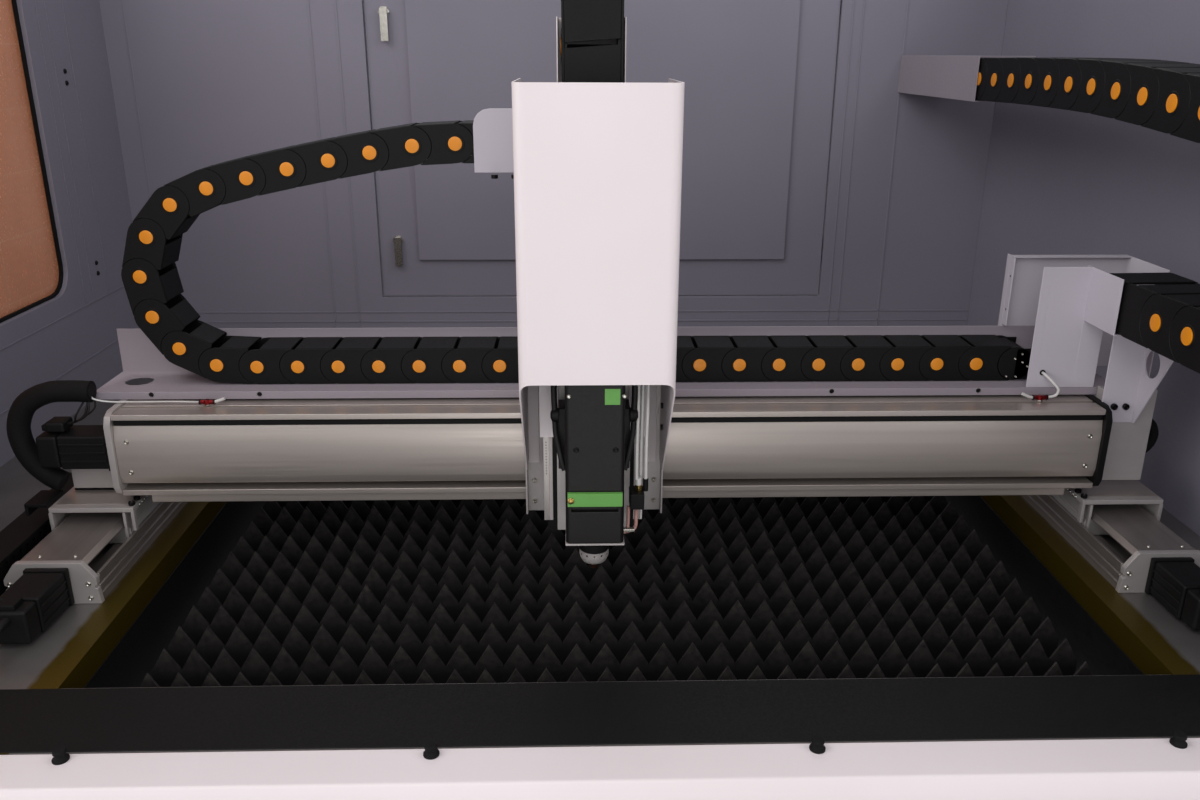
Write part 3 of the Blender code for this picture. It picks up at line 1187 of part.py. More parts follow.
def z_slide(head):
    """Saddle of the Z module with the long plate that carries the head and the Z chain's channel."""
    centre = BED_X + HEAD_X
    reach = Z_MODULE_BACK - (Z_SLIDE_REAR + Z_SLIDE_FRONT) / 2
    saddle = prism(placed(saddle_outline(reach), centre, Z_MODULE_BACK, "face"), "Z", Z_BLOCK_LOW, Z_BLOCK_HIGH)
    plate = box(around(centre, 2 * Z_SLIDE_HALF), (Z_SLIDE_FRONT, Z_SLIDE_REAR), (Z_SLIDE_LOW, Z_SLIDE_HIGH))
    hole = prism(placed(saddle_hole(Z_MODULE_BACK - Z_SLIDE_REAR), centre, Z_MODULE_BACK, "face"), "Z",
                 Z_BLOCK_LOW - OVERRUN, Z_BLOCK_HIGH + OVERRUN)
    piece("z_slide", "cast_plate", head, saddle, added=[plate], cuts=[hole])


def cutting_head(head):
    """Black head body with chamfered edges, an ear on each side and the lens drawer's front with its knob."""
    centre = BED_X + HEAD_X
    left, right = around(centre, HEAD_WIDTH)
    rear = Z_SLIDE_FRONT - SEAT
    plan = ((left + HEAD_CHAMFER, HEAD_FRONT), (right - HEAD_CHAMFER, HEAD_FRONT),
            (right, HEAD_FRONT + HEAD_CHAMFER), (right, rear), (left, rear), (left, HEAD_FRONT + HEAD_CHAMFER))
    ears = box((left - HEAD_EAR, right + HEAD_EAR), (rear - HEAD_EAR_DEPTH, rear), (HEAD_EAR_LOW, HEAD_EAR_HIGH))
    inset = 2 * HEAD_CHAMFER
    slot = box((left + inset, right - inset), (HEAD_FRONT - OVERRUN, HEAD_FRONT + DRAWER_PLATE),
               (DRAWER_PLATE_LOW, DRAWER_PLATE_HIGH))
    piece("cutting_head", "black_plastic", head, prism(plan, "Z", HEAD_LOW, HEAD_HIGH), added=[ears], cuts=[slot])
    plate = box((left + inset + SEAT, right - inset - SEAT),
                (HEAD_FRONT, HEAD_FRONT + DRAWER_PLATE - SEAT), (DRAWER_PLATE_LOW + SEAT, DRAWER_PLATE_HIGH - SEAT))
    knob = disc((left + HEAD_EAR + KNOB_RADIUS, (DRAWER_PLATE_LOW + DRAWER_PLATE_HIGH) / 2), KNOB_RADIUS, "Y",
                HEAD_FRONT - DRAWER_PLATE, HEAD_FRONT + DRAWER_PLATE / 2, SMALL_SIDES)
    piece("lens_drawer", "black_plastic", head, plate, added=[knob])


def nozzle(head):
    """Nozzle stack under the head: holder, clamping ring and copper tip."""
    centre = (BED_X + HEAD_X, NOZZLE_Y)
    top = HEAD_LOW - SEAT
    holder_low = top - HOLDER_HEIGHT
    holder = ((0, top), (HOLDER_TOP, top), (HOLDER_BOTTOM, holder_low), (0, holder_low))
    piece("nozzle_holder", "black_plastic", head, turned(holder, centre))
    ring_top = holder_low - SEAT
    ring_low = ring_top - RING_HEIGHT
    chamfer = RING_RADIUS - TIP_RADIUS
    ring = ((0, ring_top), (RING_RADIUS, ring_top), (RING_RADIUS, ring_low + chamfer), (TIP_RADIUS, ring_low),
            (0, ring_low))
    piece("nozzle_ring", "zinc", head, turned(ring, centre))
    tip_top = ring_low - SEAT
    tip_low = tip_top - TIP_HEIGHT
    tip = ((0, tip_top), (TIP_RADIUS - TIP_POINT, tip_top), (TIP_RADIUS - TIP_POINT, tip_top - TIP_HEIGHT / 3),
           (TIP_POINT, tip_low), (0, tip_low))
    piece("nozzle_tip", "copper", head, turned(tip, centre))


def chain_channel(head):
    """White channel that stands on the head's plate and backs the Z chain's front run."""
    left, right = around(BED_X + Z_CHAIN_X, X_CHAIN_WIDTH)
    left -= CAP_PROUD + CHANNEL_GAP
    right += CHANNEL_GAP
    back = Z_SLIDE_FRONT - SEAT
    front = Z_CHAIN_Y - X_CHAIN_HEIGHT / 4
    plan = ((left - CHANNEL_SHEET, back), (left - CHANNEL_SHEET, front), (left, front), (left, back - CHANNEL_SHEET),
            (right, back - CHANNEL_SHEET), (right, front), (right + CHANNEL_SHEET, front),
            (right + CHANNEL_SHEET, back))
    low = Z_BEND_LEVEL - Z_FRONT_LINKS * X_CHAIN_PITCH
    piece("chain_channel", "white_enamel", head, prism(plan, "Z", low, CHANNEL_HIGH))


def build():
    """Builds the machine, group by group."""
    clear_scene()
    machine = axis_empty("machine", (0, 0, 0))
    drawer = axis_empty("drawer_slide", (BED_X, -HALF_DEPTH, DRAWER_LOW), machine)
    door = axis_empty("door_hinge", (BED_X + DOOR_RIGHT - DOOR_GAP / 2, REAR_OUT, DOOR_LOW), machine)
    locks = [axis_empty(f"lock_axis_{k}", (BED_X + DOOR_LEFT + LOCK_INSET, REAR_FACE, level), door)
             for k, level in enumerate(LOCK_LEVELS)]
    gantry = axis_empty("gantry_slide", (BED_X, Y_CARRIAGE_FRONT, BEAM_LOW), machine)
    carriage = axis_empty("carriage_slide", (BED_X + HEAD_X, CARRIAGE_REAR, X_MODULE_Z), gantry)
    head = axis_empty("head_slide", (BED_X + HEAD_X, Z_SLIDE_REAR, Z_BLOCK_LOW), carriage)
    x_level = X_CHAIN_LEVEL + X_CHAIN_RADIUS
    x_low = axis_empty("x_bend_low_slide", (BED_X + X_BEND_X, X_CHAIN_FRONT, x_level), gantry)
    x_high = axis_empty("x_bend_high_slide", (BED_X + X_BEND_X, X_CHAIN_FRONT, x_level), carriage)
    y_level = Y_CHAIN_LEVEL + Y_CHAIN_RADIUS
    y_low = axis_empty("y_bend_low_slide", (BED_X + Y_CHAIN_LEFT, Y_BEND_Y, y_level), gantry)
    y_high = axis_empty("y_bend_high_slide", (BED_X + Y_CHAIN_LEFT, Y_BEND_Y, y_level), machine)
    z_front = axis_empty("z_bend_front_slide", (BED_X + Z_CHAIN_X, Z_CHAIN_Y, Z_BEND_LEVEL), head)
    z_back = axis_empty("z_bend_back_slide", (BED_X + Z_CHAIN_X, Z_BACK_Y, Z_BEND_LEVEL), carriage)

    base_cabinet(machine)
    scrap_drawer(drawer)
    bed_plate(machine)
    front_rail(machine)
    slat_bed(machine)
    left_wall(machine)
    right_wall(machine)
    rear_wall(machine)
    top_frame(machine)
    laser_window(machine)
    rear_door(door)
    for name, level, turner in zip(("cam_lock_lower", "cam_lock_upper"), LOCK_LEVELS, locks):
        cam_lock(name, level, turner)
    for side, label in ((-1, "left"), (1, "right")):
        y_module(machine, side, label)
        y_carriage(gantry, side, label)
    gantry_beam(gantry)
    x_module(gantry)
    chain_tray(gantry)
    chain_guard(gantry)
    chain_post(gantry)
    end_bracket(gantry)
    gusset_bracket(gantry)
    motor_conduit(gantry)
    x_chain(gantry, carriage, x_low, x_high)
    y_chain(machine, gantry, y_low, y_high)
    z_chain(carriage, head, z_front, z_back)
    chain_shelf(machine)
    x_carriage(carriage)
    head_cover(carriage)
    chain_bracket(carriage)
    z_module(carriage)
    z_slide(head)
    cutting_head(head)
    nozzle(head)
    chain_channel(head)


build()
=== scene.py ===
"""Looks of the enclosed fiber laser cutting machine.

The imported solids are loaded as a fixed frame. Every solid gets its finish, coarse ones are replaced by
finer pieces of the same form, and the detail that the solids leave out is added. Metres, +Z up, +X to the
right as seen from the open front, +Y to the back.
"""
import logging
import math
from dataclasses import dataclass, field
from enum import Enum
from typing import ClassVar, Iterable, Sequence

import bmesh
import bpy
from mathutils import Matrix, Vector


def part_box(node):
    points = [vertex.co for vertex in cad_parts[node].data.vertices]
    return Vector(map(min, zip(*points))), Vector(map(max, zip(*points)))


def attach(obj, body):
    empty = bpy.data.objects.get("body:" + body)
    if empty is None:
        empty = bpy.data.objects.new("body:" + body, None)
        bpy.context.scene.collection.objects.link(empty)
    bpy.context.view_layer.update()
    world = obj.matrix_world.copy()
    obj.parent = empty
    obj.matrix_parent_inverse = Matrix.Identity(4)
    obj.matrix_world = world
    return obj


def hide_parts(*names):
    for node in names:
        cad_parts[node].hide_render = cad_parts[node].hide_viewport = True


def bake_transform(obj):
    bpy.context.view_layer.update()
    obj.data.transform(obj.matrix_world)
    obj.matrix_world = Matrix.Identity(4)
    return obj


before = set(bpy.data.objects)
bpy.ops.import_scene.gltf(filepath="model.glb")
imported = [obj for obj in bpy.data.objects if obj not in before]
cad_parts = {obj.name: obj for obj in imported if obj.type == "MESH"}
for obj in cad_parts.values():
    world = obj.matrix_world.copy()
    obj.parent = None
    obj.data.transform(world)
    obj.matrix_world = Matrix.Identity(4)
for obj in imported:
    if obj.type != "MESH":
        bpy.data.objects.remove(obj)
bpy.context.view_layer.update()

LOG = logging.getLogger("laser_cutter")
MM = 0.001

Point = tuple[float, float, float]
Pair = tuple[float, float]
UP: Point = (0, 0, 1)
DOWN: Point = (0, 0, -1)
FRONT: Point = (0, -1, 0)


class Axis(Enum):
    """The direction a bar, rod or turned form runs in; its outline lies in the two other axes."""

    X = "X"
    Y = "Y"
    Z = "Z"

    def turn(self) -> Matrix:
        """The rotation from Z to this direction, which keeps the order of the outline's two axes."""
        columns = {
            Axis.X: ((0, 1, 0), (0, 0, 1), (1, 0, 0)),
            Axis.Y: ((1, 0, 0), (0, 0, 1), (0, 1, 0)),
            Axis.Z: ((1, 0, 0), (0, 1, 0), (0, 0, 1)),
        }[self]
        return Matrix([[column[row] for column in columns] for row in range(3)]).to_4x4()


class Side(Enum):
    """Left or right end of the machine, as its sign along X."""

    LEFT = -1
    RIGHT = 1

    @property
    def label(self) -> str:
        """The word used in node names."""
        return self.name.lower()


# Finishes


def linear(colour: str) -> tuple[float, float, float, float]:
    """Turns an sRGB hex colour into linear values.

    Args:
        colour: six hex digits after a hash sign.

    Returns:
        Red, green, blue and an alpha of one.
    """
    parts = [int(colour[k : k + 2], 16) / 255 for k in (1, 3, 5)]
    turned = [c / 12.92 if c <= 0.04045 else ((c + 0.055) / 1.055) ** 2.4 for c in parts]
    return turned[0], turned[1], turned[2], 1.0


def add(tree: bpy.types.NodeTree, kind: str, settings: dict | None = None,
        links: dict | None = None) -> bpy.types.Node:
    """Adds a node.

    Args:
        tree: the node tree it goes into.
        kind: the node's type.
        settings: values by input name or number, or by property name.
        links: output sockets by the input they go to.

    Returns:
        The new node.
    """
    made = tree.nodes.new(kind)
    for key, value in (settings or {}).items():
        if isinstance(key, str) and hasattr(made, key):
            setattr(made, key, value)
        else:
            made.inputs[key].default_value = value
    for key, source in (links or {}).items():
        tree.links.new(source, made.inputs[key])
    return made


def per_metre(size_mm: float) -> float:
    """Noise scale at which one feature measures the given millimetres."""
    return 1 / (size_mm * MM)


@dataclass(frozen=True)
class Finish:
    """A finish: its colour and gloss, and what one real sample of it shows up close.

    The grain is noise on Object coordinates; stretch pulls it along an axis, as brushing does.
    """

    name: str
    colour: str
    roughness: float
    slot: str
    metallic: float = 0.0
    shade: str = ""
    cloud_mm: float = 180.0
    cloud_share: float = 0.5
    grain_mm: float = 3.0
    grain_depth_mm: float = 0.05
    stretch: Point = (1.0, 1.0, 1.0)
    gloss_change: float = 0.08
    coat: float = 0.0
    ior: float = 1.5

    made: ClassVar[dict[str, bpy.types.Material]] = {}

    def material(self) -> bpy.types.Material:
        """The finish's one material, made the first time it is asked for."""
        if self.name not in Finish.made:
            made = bpy.data.materials.new(self.name)
            made.use_nodes = True
            tree = made.node_tree
            shader = tree.nodes["Principled BSDF"]
            shader.inputs["Metallic"].default_value = self.metallic
            shader.inputs["Coat Weight"].default_value = self.coat
            shader.inputs["IOR"].default_value = self.ior
            self.dress(tree, shader)
            Finish.made[self.name] = made
        return Finish.made[self.name]

    def dress(self, tree: bpy.types.NodeTree, shader: bpy.types.Node) -> None:
        """Links colour, roughness and bump.

        Args:
            tree: the material's nodes.
            shader: its Principled shader.
        """
        place = add(tree, "ShaderNodeTexCoord").outputs["Object"]
        spread = add(tree, "ShaderNodeMapping", {"Scale": self.stretch},
            {"Vector": place}).outputs["Vector"]
        cloud = add(tree, "ShaderNodeTexNoise", {"Scale": per_metre(self.cloud_mm), "Detail": 3.0},
            {"Vector": spread})
        grain = add(tree, "ShaderNodeTexNoise", {"Scale": per_metre(self.grain_mm), "Detail": 2.0},
            {"Vector": spread})
        share = add(tree, "ShaderNodeMapRange", {"From Min": 0.35, "From Max": 0.65,
            "To Max": self.cloud_share}, {"Value": cloud.outputs["Fac"]})
        colour = add(tree, "ShaderNodeMix", {"data_type": "RGBA", 6: linear(self.colour),
            7: linear(self.shade or self.colour)}, {0: share.outputs["Result"]}).outputs[2]
        colour = self.marks(tree, place, colour)
        gloss = add(tree, "ShaderNodeMapRange", {"From Min": 0.3, "From Max": 0.7,
            "To Min": self.roughness - self.gloss_change, "To Max": self.roughness + self.gloss_change},
            {"Value": grain.outputs["Fac"]})
        bump = add(tree, "ShaderNodeBump", {"Strength": 1.0, "Distance": self.grain_depth_mm * MM},
            {"Height": grain.outputs["Fac"]})
        tree.links.new(colour, shader.inputs["Base Color"])
        tree.links.new(gloss.outputs["Result"], shader.inputs["Roughness"])
        tree.links.new(bump.outputs["Normal"], shader.inputs["Normal"])

    def marks(self, tree: bpy.types.NodeTree, place: bpy.types.NodeSocket,
            colour: bpy.types.NodeSocket) -> bpy.types.NodeSocket:
        """What use has left on the colour; nothing, on most finishes."""
        return colour


@dataclass(frozen=True)
class SootedAndShaded(Finish):
    """Steel that is dark all over below a level, painted shade deep between the slats, with sooty specks
    and spatter in patches above it.
    """

    # Dark colour of the sooty patches, and of the painted shade below the level.
    soot_and_shade: str = "#0f0d0d"
    bright_level: float = 0.836
    fade: float = 0.03
    speck_mm: float = 9.0

    def marks(self, tree: bpy.types.NodeTree, place: bpy.types.NodeSocket,
            colour: bpy.types.NodeSocket) -> bpy.types.NodeSocket:
        """Darkens the steel all over below the level, painted shade, and in sooty patches above it."""
        level = add(tree, "ShaderNodeSeparateXYZ", None, {0: place}).outputs["Z"]
        high = add(tree, "ShaderNodeMapRange", {"From Min": self.bright_level - self.fade,
            "From Max": self.bright_level}, {"Value": level}).outputs["Result"]
        specks = add(tree, "ShaderNodeTexNoise", {"Scale": per_metre(self.speck_mm), "Detail": 4.0},
            {"Vector": place})
        patch = add(tree, "ShaderNodeMapRange", {"From Min": 0.2, "From Max": 0.75},
            {"Value": specks.outputs["Fac"]}).outputs["Result"]
        # Share of bare steel: none below the level, where shade is painted, patchy above it.
        bright_share = add(tree, "ShaderNodeMath", {"operation": "MULTIPLY"}, {0: high, 1: patch}).outputs[0]
        return add(tree, "ShaderNodeMix", {"data_type": "RGBA", 6: linear(self.soot_and_shade)},
            {0: bright_share, 7: colour}).outputs[2]


@dataclass(frozen=True)
class Banded(Finish):
    """Ground steel with an amber band along the two sides of the pit."""

    band: str = "#5a4a10"
    centre: float = 0.095
    inner: float = 0.727
    outer: float = 0.765

    def marks(self, tree: bpy.types.NodeTree, place: bpy.types.NodeSocket,
            colour: bpy.types.NodeSocket) -> bpy.types.NodeSocket:
        """Tints the steel by its distance from the pit's middle line."""
        across = add(tree, "ShaderNodeSeparateXYZ", None, {0: place}).outputs["X"]
        offset = add(tree, "ShaderNodeMath", {"operation": "SUBTRACT", 1: self.centre},
            {0: across}).outputs[0]
        away = add(tree, "ShaderNodeMath", {"operation": "ABSOLUTE"}, {0: offset}).outputs[0]
        ragged = add(tree, "ShaderNodeTexNoise", {"Scale": per_metre(35.0), "Detail": 3.0},
            {"Vector": place})
        wobble = add(tree, "ShaderNodeMapRange", {"To Min": -6 * MM, "To Max": 6 * MM},
            {"Value": ragged.outputs["Fac"]}).outputs["Result"]
        edge = add(tree, "ShaderNodeMath", {"operation": "ADD"}, {0: away, 1: wobble}).outputs[0]
        inside = add(tree, "ShaderNodeMapRange", {"From Min": self.outer - 4 * MM,
            "From Max": self.outer + 4 * MM, "To Min": 1.0, "To Max": 0.0},
            {"Value": edge}).outputs["Result"]
        beside = add(tree, "ShaderNodeMath", {"operation": "GREATER_THAN", 1: self.inner - 4 * MM},
            {0: away}).outputs[0]
        share = add(tree, "ShaderNodeMath", {"operation": "MULTIPLY"}, {0: inside, 1: beside}).outputs[0]
        return add(tree, "ShaderNodeMix", {"data_type": "RGBA", 7: linear(self.band)},
            {0: share, 6: colour}).outputs[2]


@dataclass(frozen=True)
class PitCabinet(Finish):
    """Enamelled cabinet whose pit is coloured black, painted shade of the deep pit."""

    pit_low: Point = (-0.64, -0.659, 0.128)
    pit_high: Point = (0.83, 0.452, 0.801)
    # Black of the painted shade in the pit.
    pit_shade_colour: str = "#0d0c0d"

    def marks(self, tree: bpy.types.NodeTree, place: bpy.types.NodeSocket,
            colour: bpy.types.NodeSocket) -> bpy.types.NodeSocket:
        """Takes the enamel over into black inside the pit's limits: painted shade."""
        parts = add(tree, "ShaderNodeSeparateXYZ", None, {0: place})
        inside = None
        for index, axis in enumerate("XYZ"):
            for limit, operation in ((self.pit_low[index], "GREATER_THAN"),
                    (self.pit_high[index], "LESS_THAN")):
                test = add(tree, "ShaderNodeMath", {"operation": operation, 1: limit},
                    {0: parts.outputs[axis]})
                if inside is None:
                    inside = test.outputs[0]
                else:
                    inside = add(tree, "ShaderNodeMath", {"operation": "MULTIPLY"},
                        {0: inside, 1: test.outputs[0]}).outputs[0]
        return add(tree, "ShaderNodeMix", {"data_type": "RGBA", 7: linear(self.pit_shade_colour)},
            {0: inside, 6: colour}).outputs[2]


@dataclass(frozen=True)
class Acrylic(Finish):
    """Laser-safe cast acrylic with its thin protective film: tinted, partly see-through, smooth."""

    alpha: float = 0.9
    tile_mm: float = 125.0
    joint: str = "#e9b08a"

    def dress(self, tree: bpy.types.NodeTree, shader: bpy.types.Node) -> None:
        """Adds the film's tint and its faint creases to the plain dressing."""
        super().dress(tree, shader)
        shader.inputs["Alpha"].default_value = self.alpha
        shader.inputs["Transmission Weight"].default_value = 0.25

    def marks(self, tree: bpy.types.NodeTree, place: bpy.types.NodeSocket,
            colour: bpy.types.NodeSocket) -> bpy.types.NodeSocket:
        """Lines where the film was folded, a hand apart."""
        parts = add(tree, "ShaderNodeSeparateXYZ", None, {0: place})
        line = None
        for axis in ("Y", "Z"):
            spot = add(tree, "ShaderNodeMath", {"operation": "MODULO", 1: self.tile_mm * MM},
                {0: add(tree, "ShaderNodeMath", {"operation": "ADD", 1: 10.0},
                {0: parts.outputs[axis]}).outputs[0]})
            near = add(tree, "ShaderNodeMath", {"operation": "LESS_THAN", 1: 1.6 * MM},
                {0: spot.outputs[0]}).outputs[0]
            line = near if line is None else add(tree, "ShaderNodeMath", {"operation": "MAXIMUM"},
                {0: line, 1: near}).outputs[0]
        return add(tree, "ShaderNodeMix", {"data_type": "RGBA", 7: linear(self.joint)},
            {0: line, 6: colour}).outputs[2]


# Grey-blue powder coat: matt, with a soft orange peel that breaks the highlight.
WALL_ENAMEL = Finish("grey_powder_coat", "#827e8b", 0.52, "grey_enamel", shade="#7a7683", cloud_mm=420,
    grain_mm=4, grain_depth_mm=0.06)
# The same coat on the cabinet; its pit is coloured black, painted shade.
CABINET_ENAMEL = PitCabinet("cabinet_powder_coat", "#827e8b", 0.52, "grey_enamel", shade="#7a7683",
    cloud_mm=420, grain_mm=4, grain_depth_mm=0.06)
# White powder coat: semi-gloss, almost even, faintly warm where the lamp has aged it.
WHITE_ENAMEL = Finish("white_powder_coat", "#dcd2d4", 0.42, "white_enamel", shade="#d5cbcc", cloud_mm=260,
    grain_mm=3, grain_depth_mm=0.03)
# Extruded aluminium, brushed and clear anodised: long fine streaks along X. The three copies differ in tone
# only as painted light and shade; this one, along X, is lightened: painted light.
BRUSHED_X_LIT = Finish("brushed_aluminium_x_painted_light", "#c2b8b1", 0.36, "brushed_aluminium", metallic=0.75,
    shade="#aca39d", cloud_mm=14, grain_mm=2.2, grain_depth_mm=0.02, stretch=(0.012, 1.0, 1.0),
    gloss_change=0.06)
# The same extrusion with its length along Y, darkened most: painted shade.
BRUSHED_Y_SHADED = Finish("brushed_aluminium_y_painted_shade", "#9d9591", 0.38, "brushed_aluminium", metallic=0.75,
    shade="#88817e", cloud_mm=14, grain_mm=2.2, grain_depth_mm=0.02, stretch=(1.0, 0.012, 1.0),
    gloss_change=0.06)
# The same extrusion standing up, a tone darker than along X: painted shade.
BRUSHED_Z_SHADED = Finish("brushed_aluminium_z_painted_shade", "#b4aeaa", 0.38, "brushed_aluminium", metallic=0.75,
    shade="#98928f", cloud_mm=14, grain_mm=2.2, grain_depth_mm=0.02, stretch=(1.0, 1.0, 0.012),
    gloss_change=0.06)
# Light grey powder coat of the folded parts that carry chains: satin, slightly blue; the pale grey coat
# below, darkened as painted shade.
TRAY_ENAMEL_SHADED = Finish("light_grey_coat_painted_shade", "#958c94", 0.45, "white_enamel", shade="#8c848c",
    cloud_mm=260, grain_mm=3, grain_depth_mm=0.03)
# The same coat without the painted shade, on the posts and brackets.
POST_ENAMEL = Finish("pale_grey_powder_coat", "#bab3bc", 0.45, "white_enamel", shade="#b1aab4",
    cloud_mm=260, grain_mm=3, grain_depth_mm=0.03)
# Bead-blasted anodised plate: even, pale and nearly white, with a fine bloom.
BLASTED = Finish("blasted_aluminium", "#b8b2b0", 0.5, "cast_plate", metallic=0.55, shade="#aaa5a3",
    cloud_mm=60, grain_mm=1.6, grain_depth_mm=0.03)
# Moulded polyamide: near black, satin, a slight grain.
POLYAMIDE = Finish("black_polyamide", "#0a0909", 0.58, "black_plastic", shade="#060505", cloud_mm=40,
    grain_mm=1.5, grain_depth_mm=0.02, ior=1.3)
# Moulded chain caps: saturated orange-yellow, satin.
CAP_PLASTIC = Finish("orange_cap_plastic", "#e08a10", 0.38, "black_plastic", shade="#d27f0c", cloud_mm=12,
    grain_mm=1.2, grain_depth_mm=0.01)
# Nitrile rubber and foam sleeve: dull black.
RUBBER = Finish("black_rubber", "#0a0909", 0.78, "black_plastic", shade="#0f0e0e", cloud_mm=18,
    grain_mm=2.0, grain_depth_mm=0.08, ior=1.3)
# Servo housings: black spray coat over die casting.
MOTOR_COAT = Finish("black_motor_coat", "#0c0b0b", 0.55, "black_plastic", shade="#070606", cloud_mm=30,
    grain_mm=1.4, grain_depth_mm=0.05, ior=1.3)
# Head housing: black hard-anodised aluminium, a soft sheen.
HARD_BLACK = Finish("black_hard_anodised", "#0f0c0b", 0.46, "black_anodised", metallic=0.0, shade="#0b0908",
    cloud_mm=70, grain_mm=1.2, grain_depth_mm=0.01, ior=1.35)
# Green silkscreen on the head's drawer and corner: flat, even.
GREEN_PRINT = Finish("green_print", "#5b9444", 0.55, "black_anodised", shade="#558d3f", cloud_mm=30,
    grain_mm=1.2, grain_depth_mm=0.01)
# Laser-cut strip steel: dark scale, bare grey towards the tips, spatter; dark all over lower down, painted
# shade between the slats.
SLAT_STEEL = SootedAndShaded("strip_steel_spatter_and_shade", "#4a4442", 0.6, "slat_steel", metallic=0.4, shade="#3a3533",
    cloud_mm=40, grain_mm=2.5, grain_depth_mm=0.1, bright_level=0.842, fade=0.055)
# Black-painted apron plate, scuffed by sheets that slid over it.
APRON_PAINT = Finish("scuffed_black_paint", "#080707", 0.62, "bed_steel", shade="#0f0d0d", cloud_mm=120,
    grain_mm=2.5, grain_depth_mm=0.08, gloss_change=0.14, ior=1.3)
# Ground steel plate of the bed with its amber band: dull grey, cloudy, faint sheen.
BED_STEEL = Banded("ground_bed_steel", "#8b8785", 0.4, "bed_steel", metallic=0.75, shade="#6f6b6a",
    cloud_mm=120, grain_mm=2.0, grain_depth_mm=0.03, gloss_change=0.12)
# Zinc-plated steel and screws: bright, slightly yellow.
ZINC = Finish("zinc_plate", "#c3bfb6", 0.28, "zinc", metallic=1.0, shade="#a8a49b", cloud_mm=8,
    grain_mm=0.9, grain_depth_mm=0.01)
# Black oxide on socket screws: oily black, a soft glint.
BLACK_OXIDE = Finish("black_oxide_steel", "#1e1c1c", 0.38, "zinc", metallic=0.8, shade="#141212",
    cloud_mm=6, grain_mm=0.9, grain_depth_mm=0.01)
# Turned copper, dulled by heat.
COPPER = Finish("turned_copper", "#b8755a", 0.3, "copper", metallic=1.0, shade="#8f5843", cloud_mm=5,
    grain_mm=0.7, grain_depth_mm=0.02, stretch=(0.2, 0.2, 1.0))
# Turned brass of fittings: warm yellow, bright rings from the tool.
BRASS = Finish("turned_brass", "#b59a5c", 0.28, "copper", metallic=1.0, shade="#94793f", cloud_mm=6,
    grain_mm=0.8, grain_depth_mm=0.01)
# Red anodised aluminium of the lube nipples: deep red with a metal glint.
RED_ANODISED = Finish("red_anodised", "#7d1418", 0.28, "zinc", metallic=0.8, shade="#560c10", cloud_mm=6,
    grain_mm=0.8, grain_depth_mm=0.01)
# Water tube of polyurethane: rosy, smooth, faintly glossy.
WATER_TUBE = Finish("rosy_water_tube", "#b98d86", 0.3, "white_enamel", shade="#a97a72", cloud_mm=14,
    grain_mm=1.2, grain_depth_mm=0.01, coat=0.2)
# Gas and lube tube of polyurethane: milky, smooth, with a wet highlight.
CLEAR_TUBE = Finish("milky_tube", "#c9c6c4", 0.22, "white_enamel", shade="#b8b4b1", cloud_mm=20,
    grain_mm=1.5, grain_depth_mm=0.01, coat=0.3)
# Cable jackets of extruded PVC: even colour, satin, a faint orange peel.
CABLE_BLACK = Finish("black_cable", "#161515", 0.45, "black_plastic", shade="#201e1e", cloud_mm=12,
    grain_mm=1.0, grain_depth_mm=0.03, ior=1.3)
CABLE_YELLOW = Finish("yellow_cable", "#c8b22a", 0.45, "black_plastic", shade="#b39e1f", cloud_mm=12,
    grain_mm=1.0, grain_depth_mm=0.03)
CABLE_BLUE = Finish("blue_cable", "#23308e", 0.45, "black_plastic", shade="#1c2777", cloud_mm=12,
    grain_mm=1.0, grain_depth_mm=0.03)
CABLE_GREY = Finish("grey_hose", "#6f6c6c", 0.45, "black_plastic", shade="#5f5c5c", cloud_mm=12,
    grain_mm=1.0, grain_depth_mm=0.03)
# Cast acrylic of the laser-safe window under its creased film: orange, smooth, lets a little light through.
WINDOW_ACRYLIC = Acrylic("orange_laser_acrylic", "#e09a72", 0.22, "orange_acrylic", shade="#d68f68",
    cloud_mm=160, grain_mm=6, grain_depth_mm=0.02, coat=0.2)


# Making meshes


def block(low: Point, high: Point, edge: float = 0.0, segments: int = 2) -> bmesh.types.BMesh:
    """A rectangular bar or plate.

    Args:
        low: lowest corner.
        high: highest corner.
        edge: width of the rounding on every edge.
        segments: steps in the rounding.

    Returns:
        The part.
    """
    part = bmesh.new()
    bmesh.ops.create_cube(part, size=1.0)
    size = [high[k] - low[k] for k in range(3)]
    bmesh.ops.scale(part, vec=size, verts=part.verts[:])
    bmesh.ops.translate(part, vec=[(high[k] + low[k]) / 2 for k in range(3)], verts=part.verts[:])
    return eased(part, edge, segments)


def eased(part: bmesh.types.BMesh, edge: float, segments: int = 2,
        angle: float = 30.0) -> bmesh.types.BMesh:
    """Rounds every outer edge that is sharper than the angle, in degrees, and returns the part."""
    if edge > 0:
        sharp = [e for e in part.edges if len(e.link_faces) == 2 and e.is_convex and e.calc_face_angle(0.0)
            > math.radians(angle)]
        bmesh.ops.bevel(part, geom=sharp, offset=edge, offset_type="OFFSET", segments=segments, profile=0.5,
            affect="EDGES", clamp_overlap=True, material=-1)
    return part


def placed(part: bmesh.types.BMesh, place: Axis | Matrix) -> bmesh.types.BMesh:
    """Puts a part that was built along Z in its direction or its whole placing, and returns it."""
    bmesh.ops.transform(part, matrix=place if isinstance(place, Matrix) else place.turn(),
        verts=part.verts[:])
    return part


def thickened(part: bmesh.types.BMesh, place: Axis | Matrix, start: float, end: float, edge: float = 0.0,
        segments: int = 2) -> bmesh.types.BMesh:
    """Draws a flat part at the start out to the end, eases its edges, puts it in place and returns it."""
    drawn = bmesh.ops.extrude_face_region(part, geom=part.faces[:])
    moved = [v for v in drawn["geom"] if isinstance(v, bmesh.types.BMVert)]
    bmesh.ops.translate(part, vec=(0, 0, end - start), verts=moved)
    bmesh.ops.recalc_face_normals(part, faces=part.faces[:])
    return placed(eased(part, edge, segments), place)


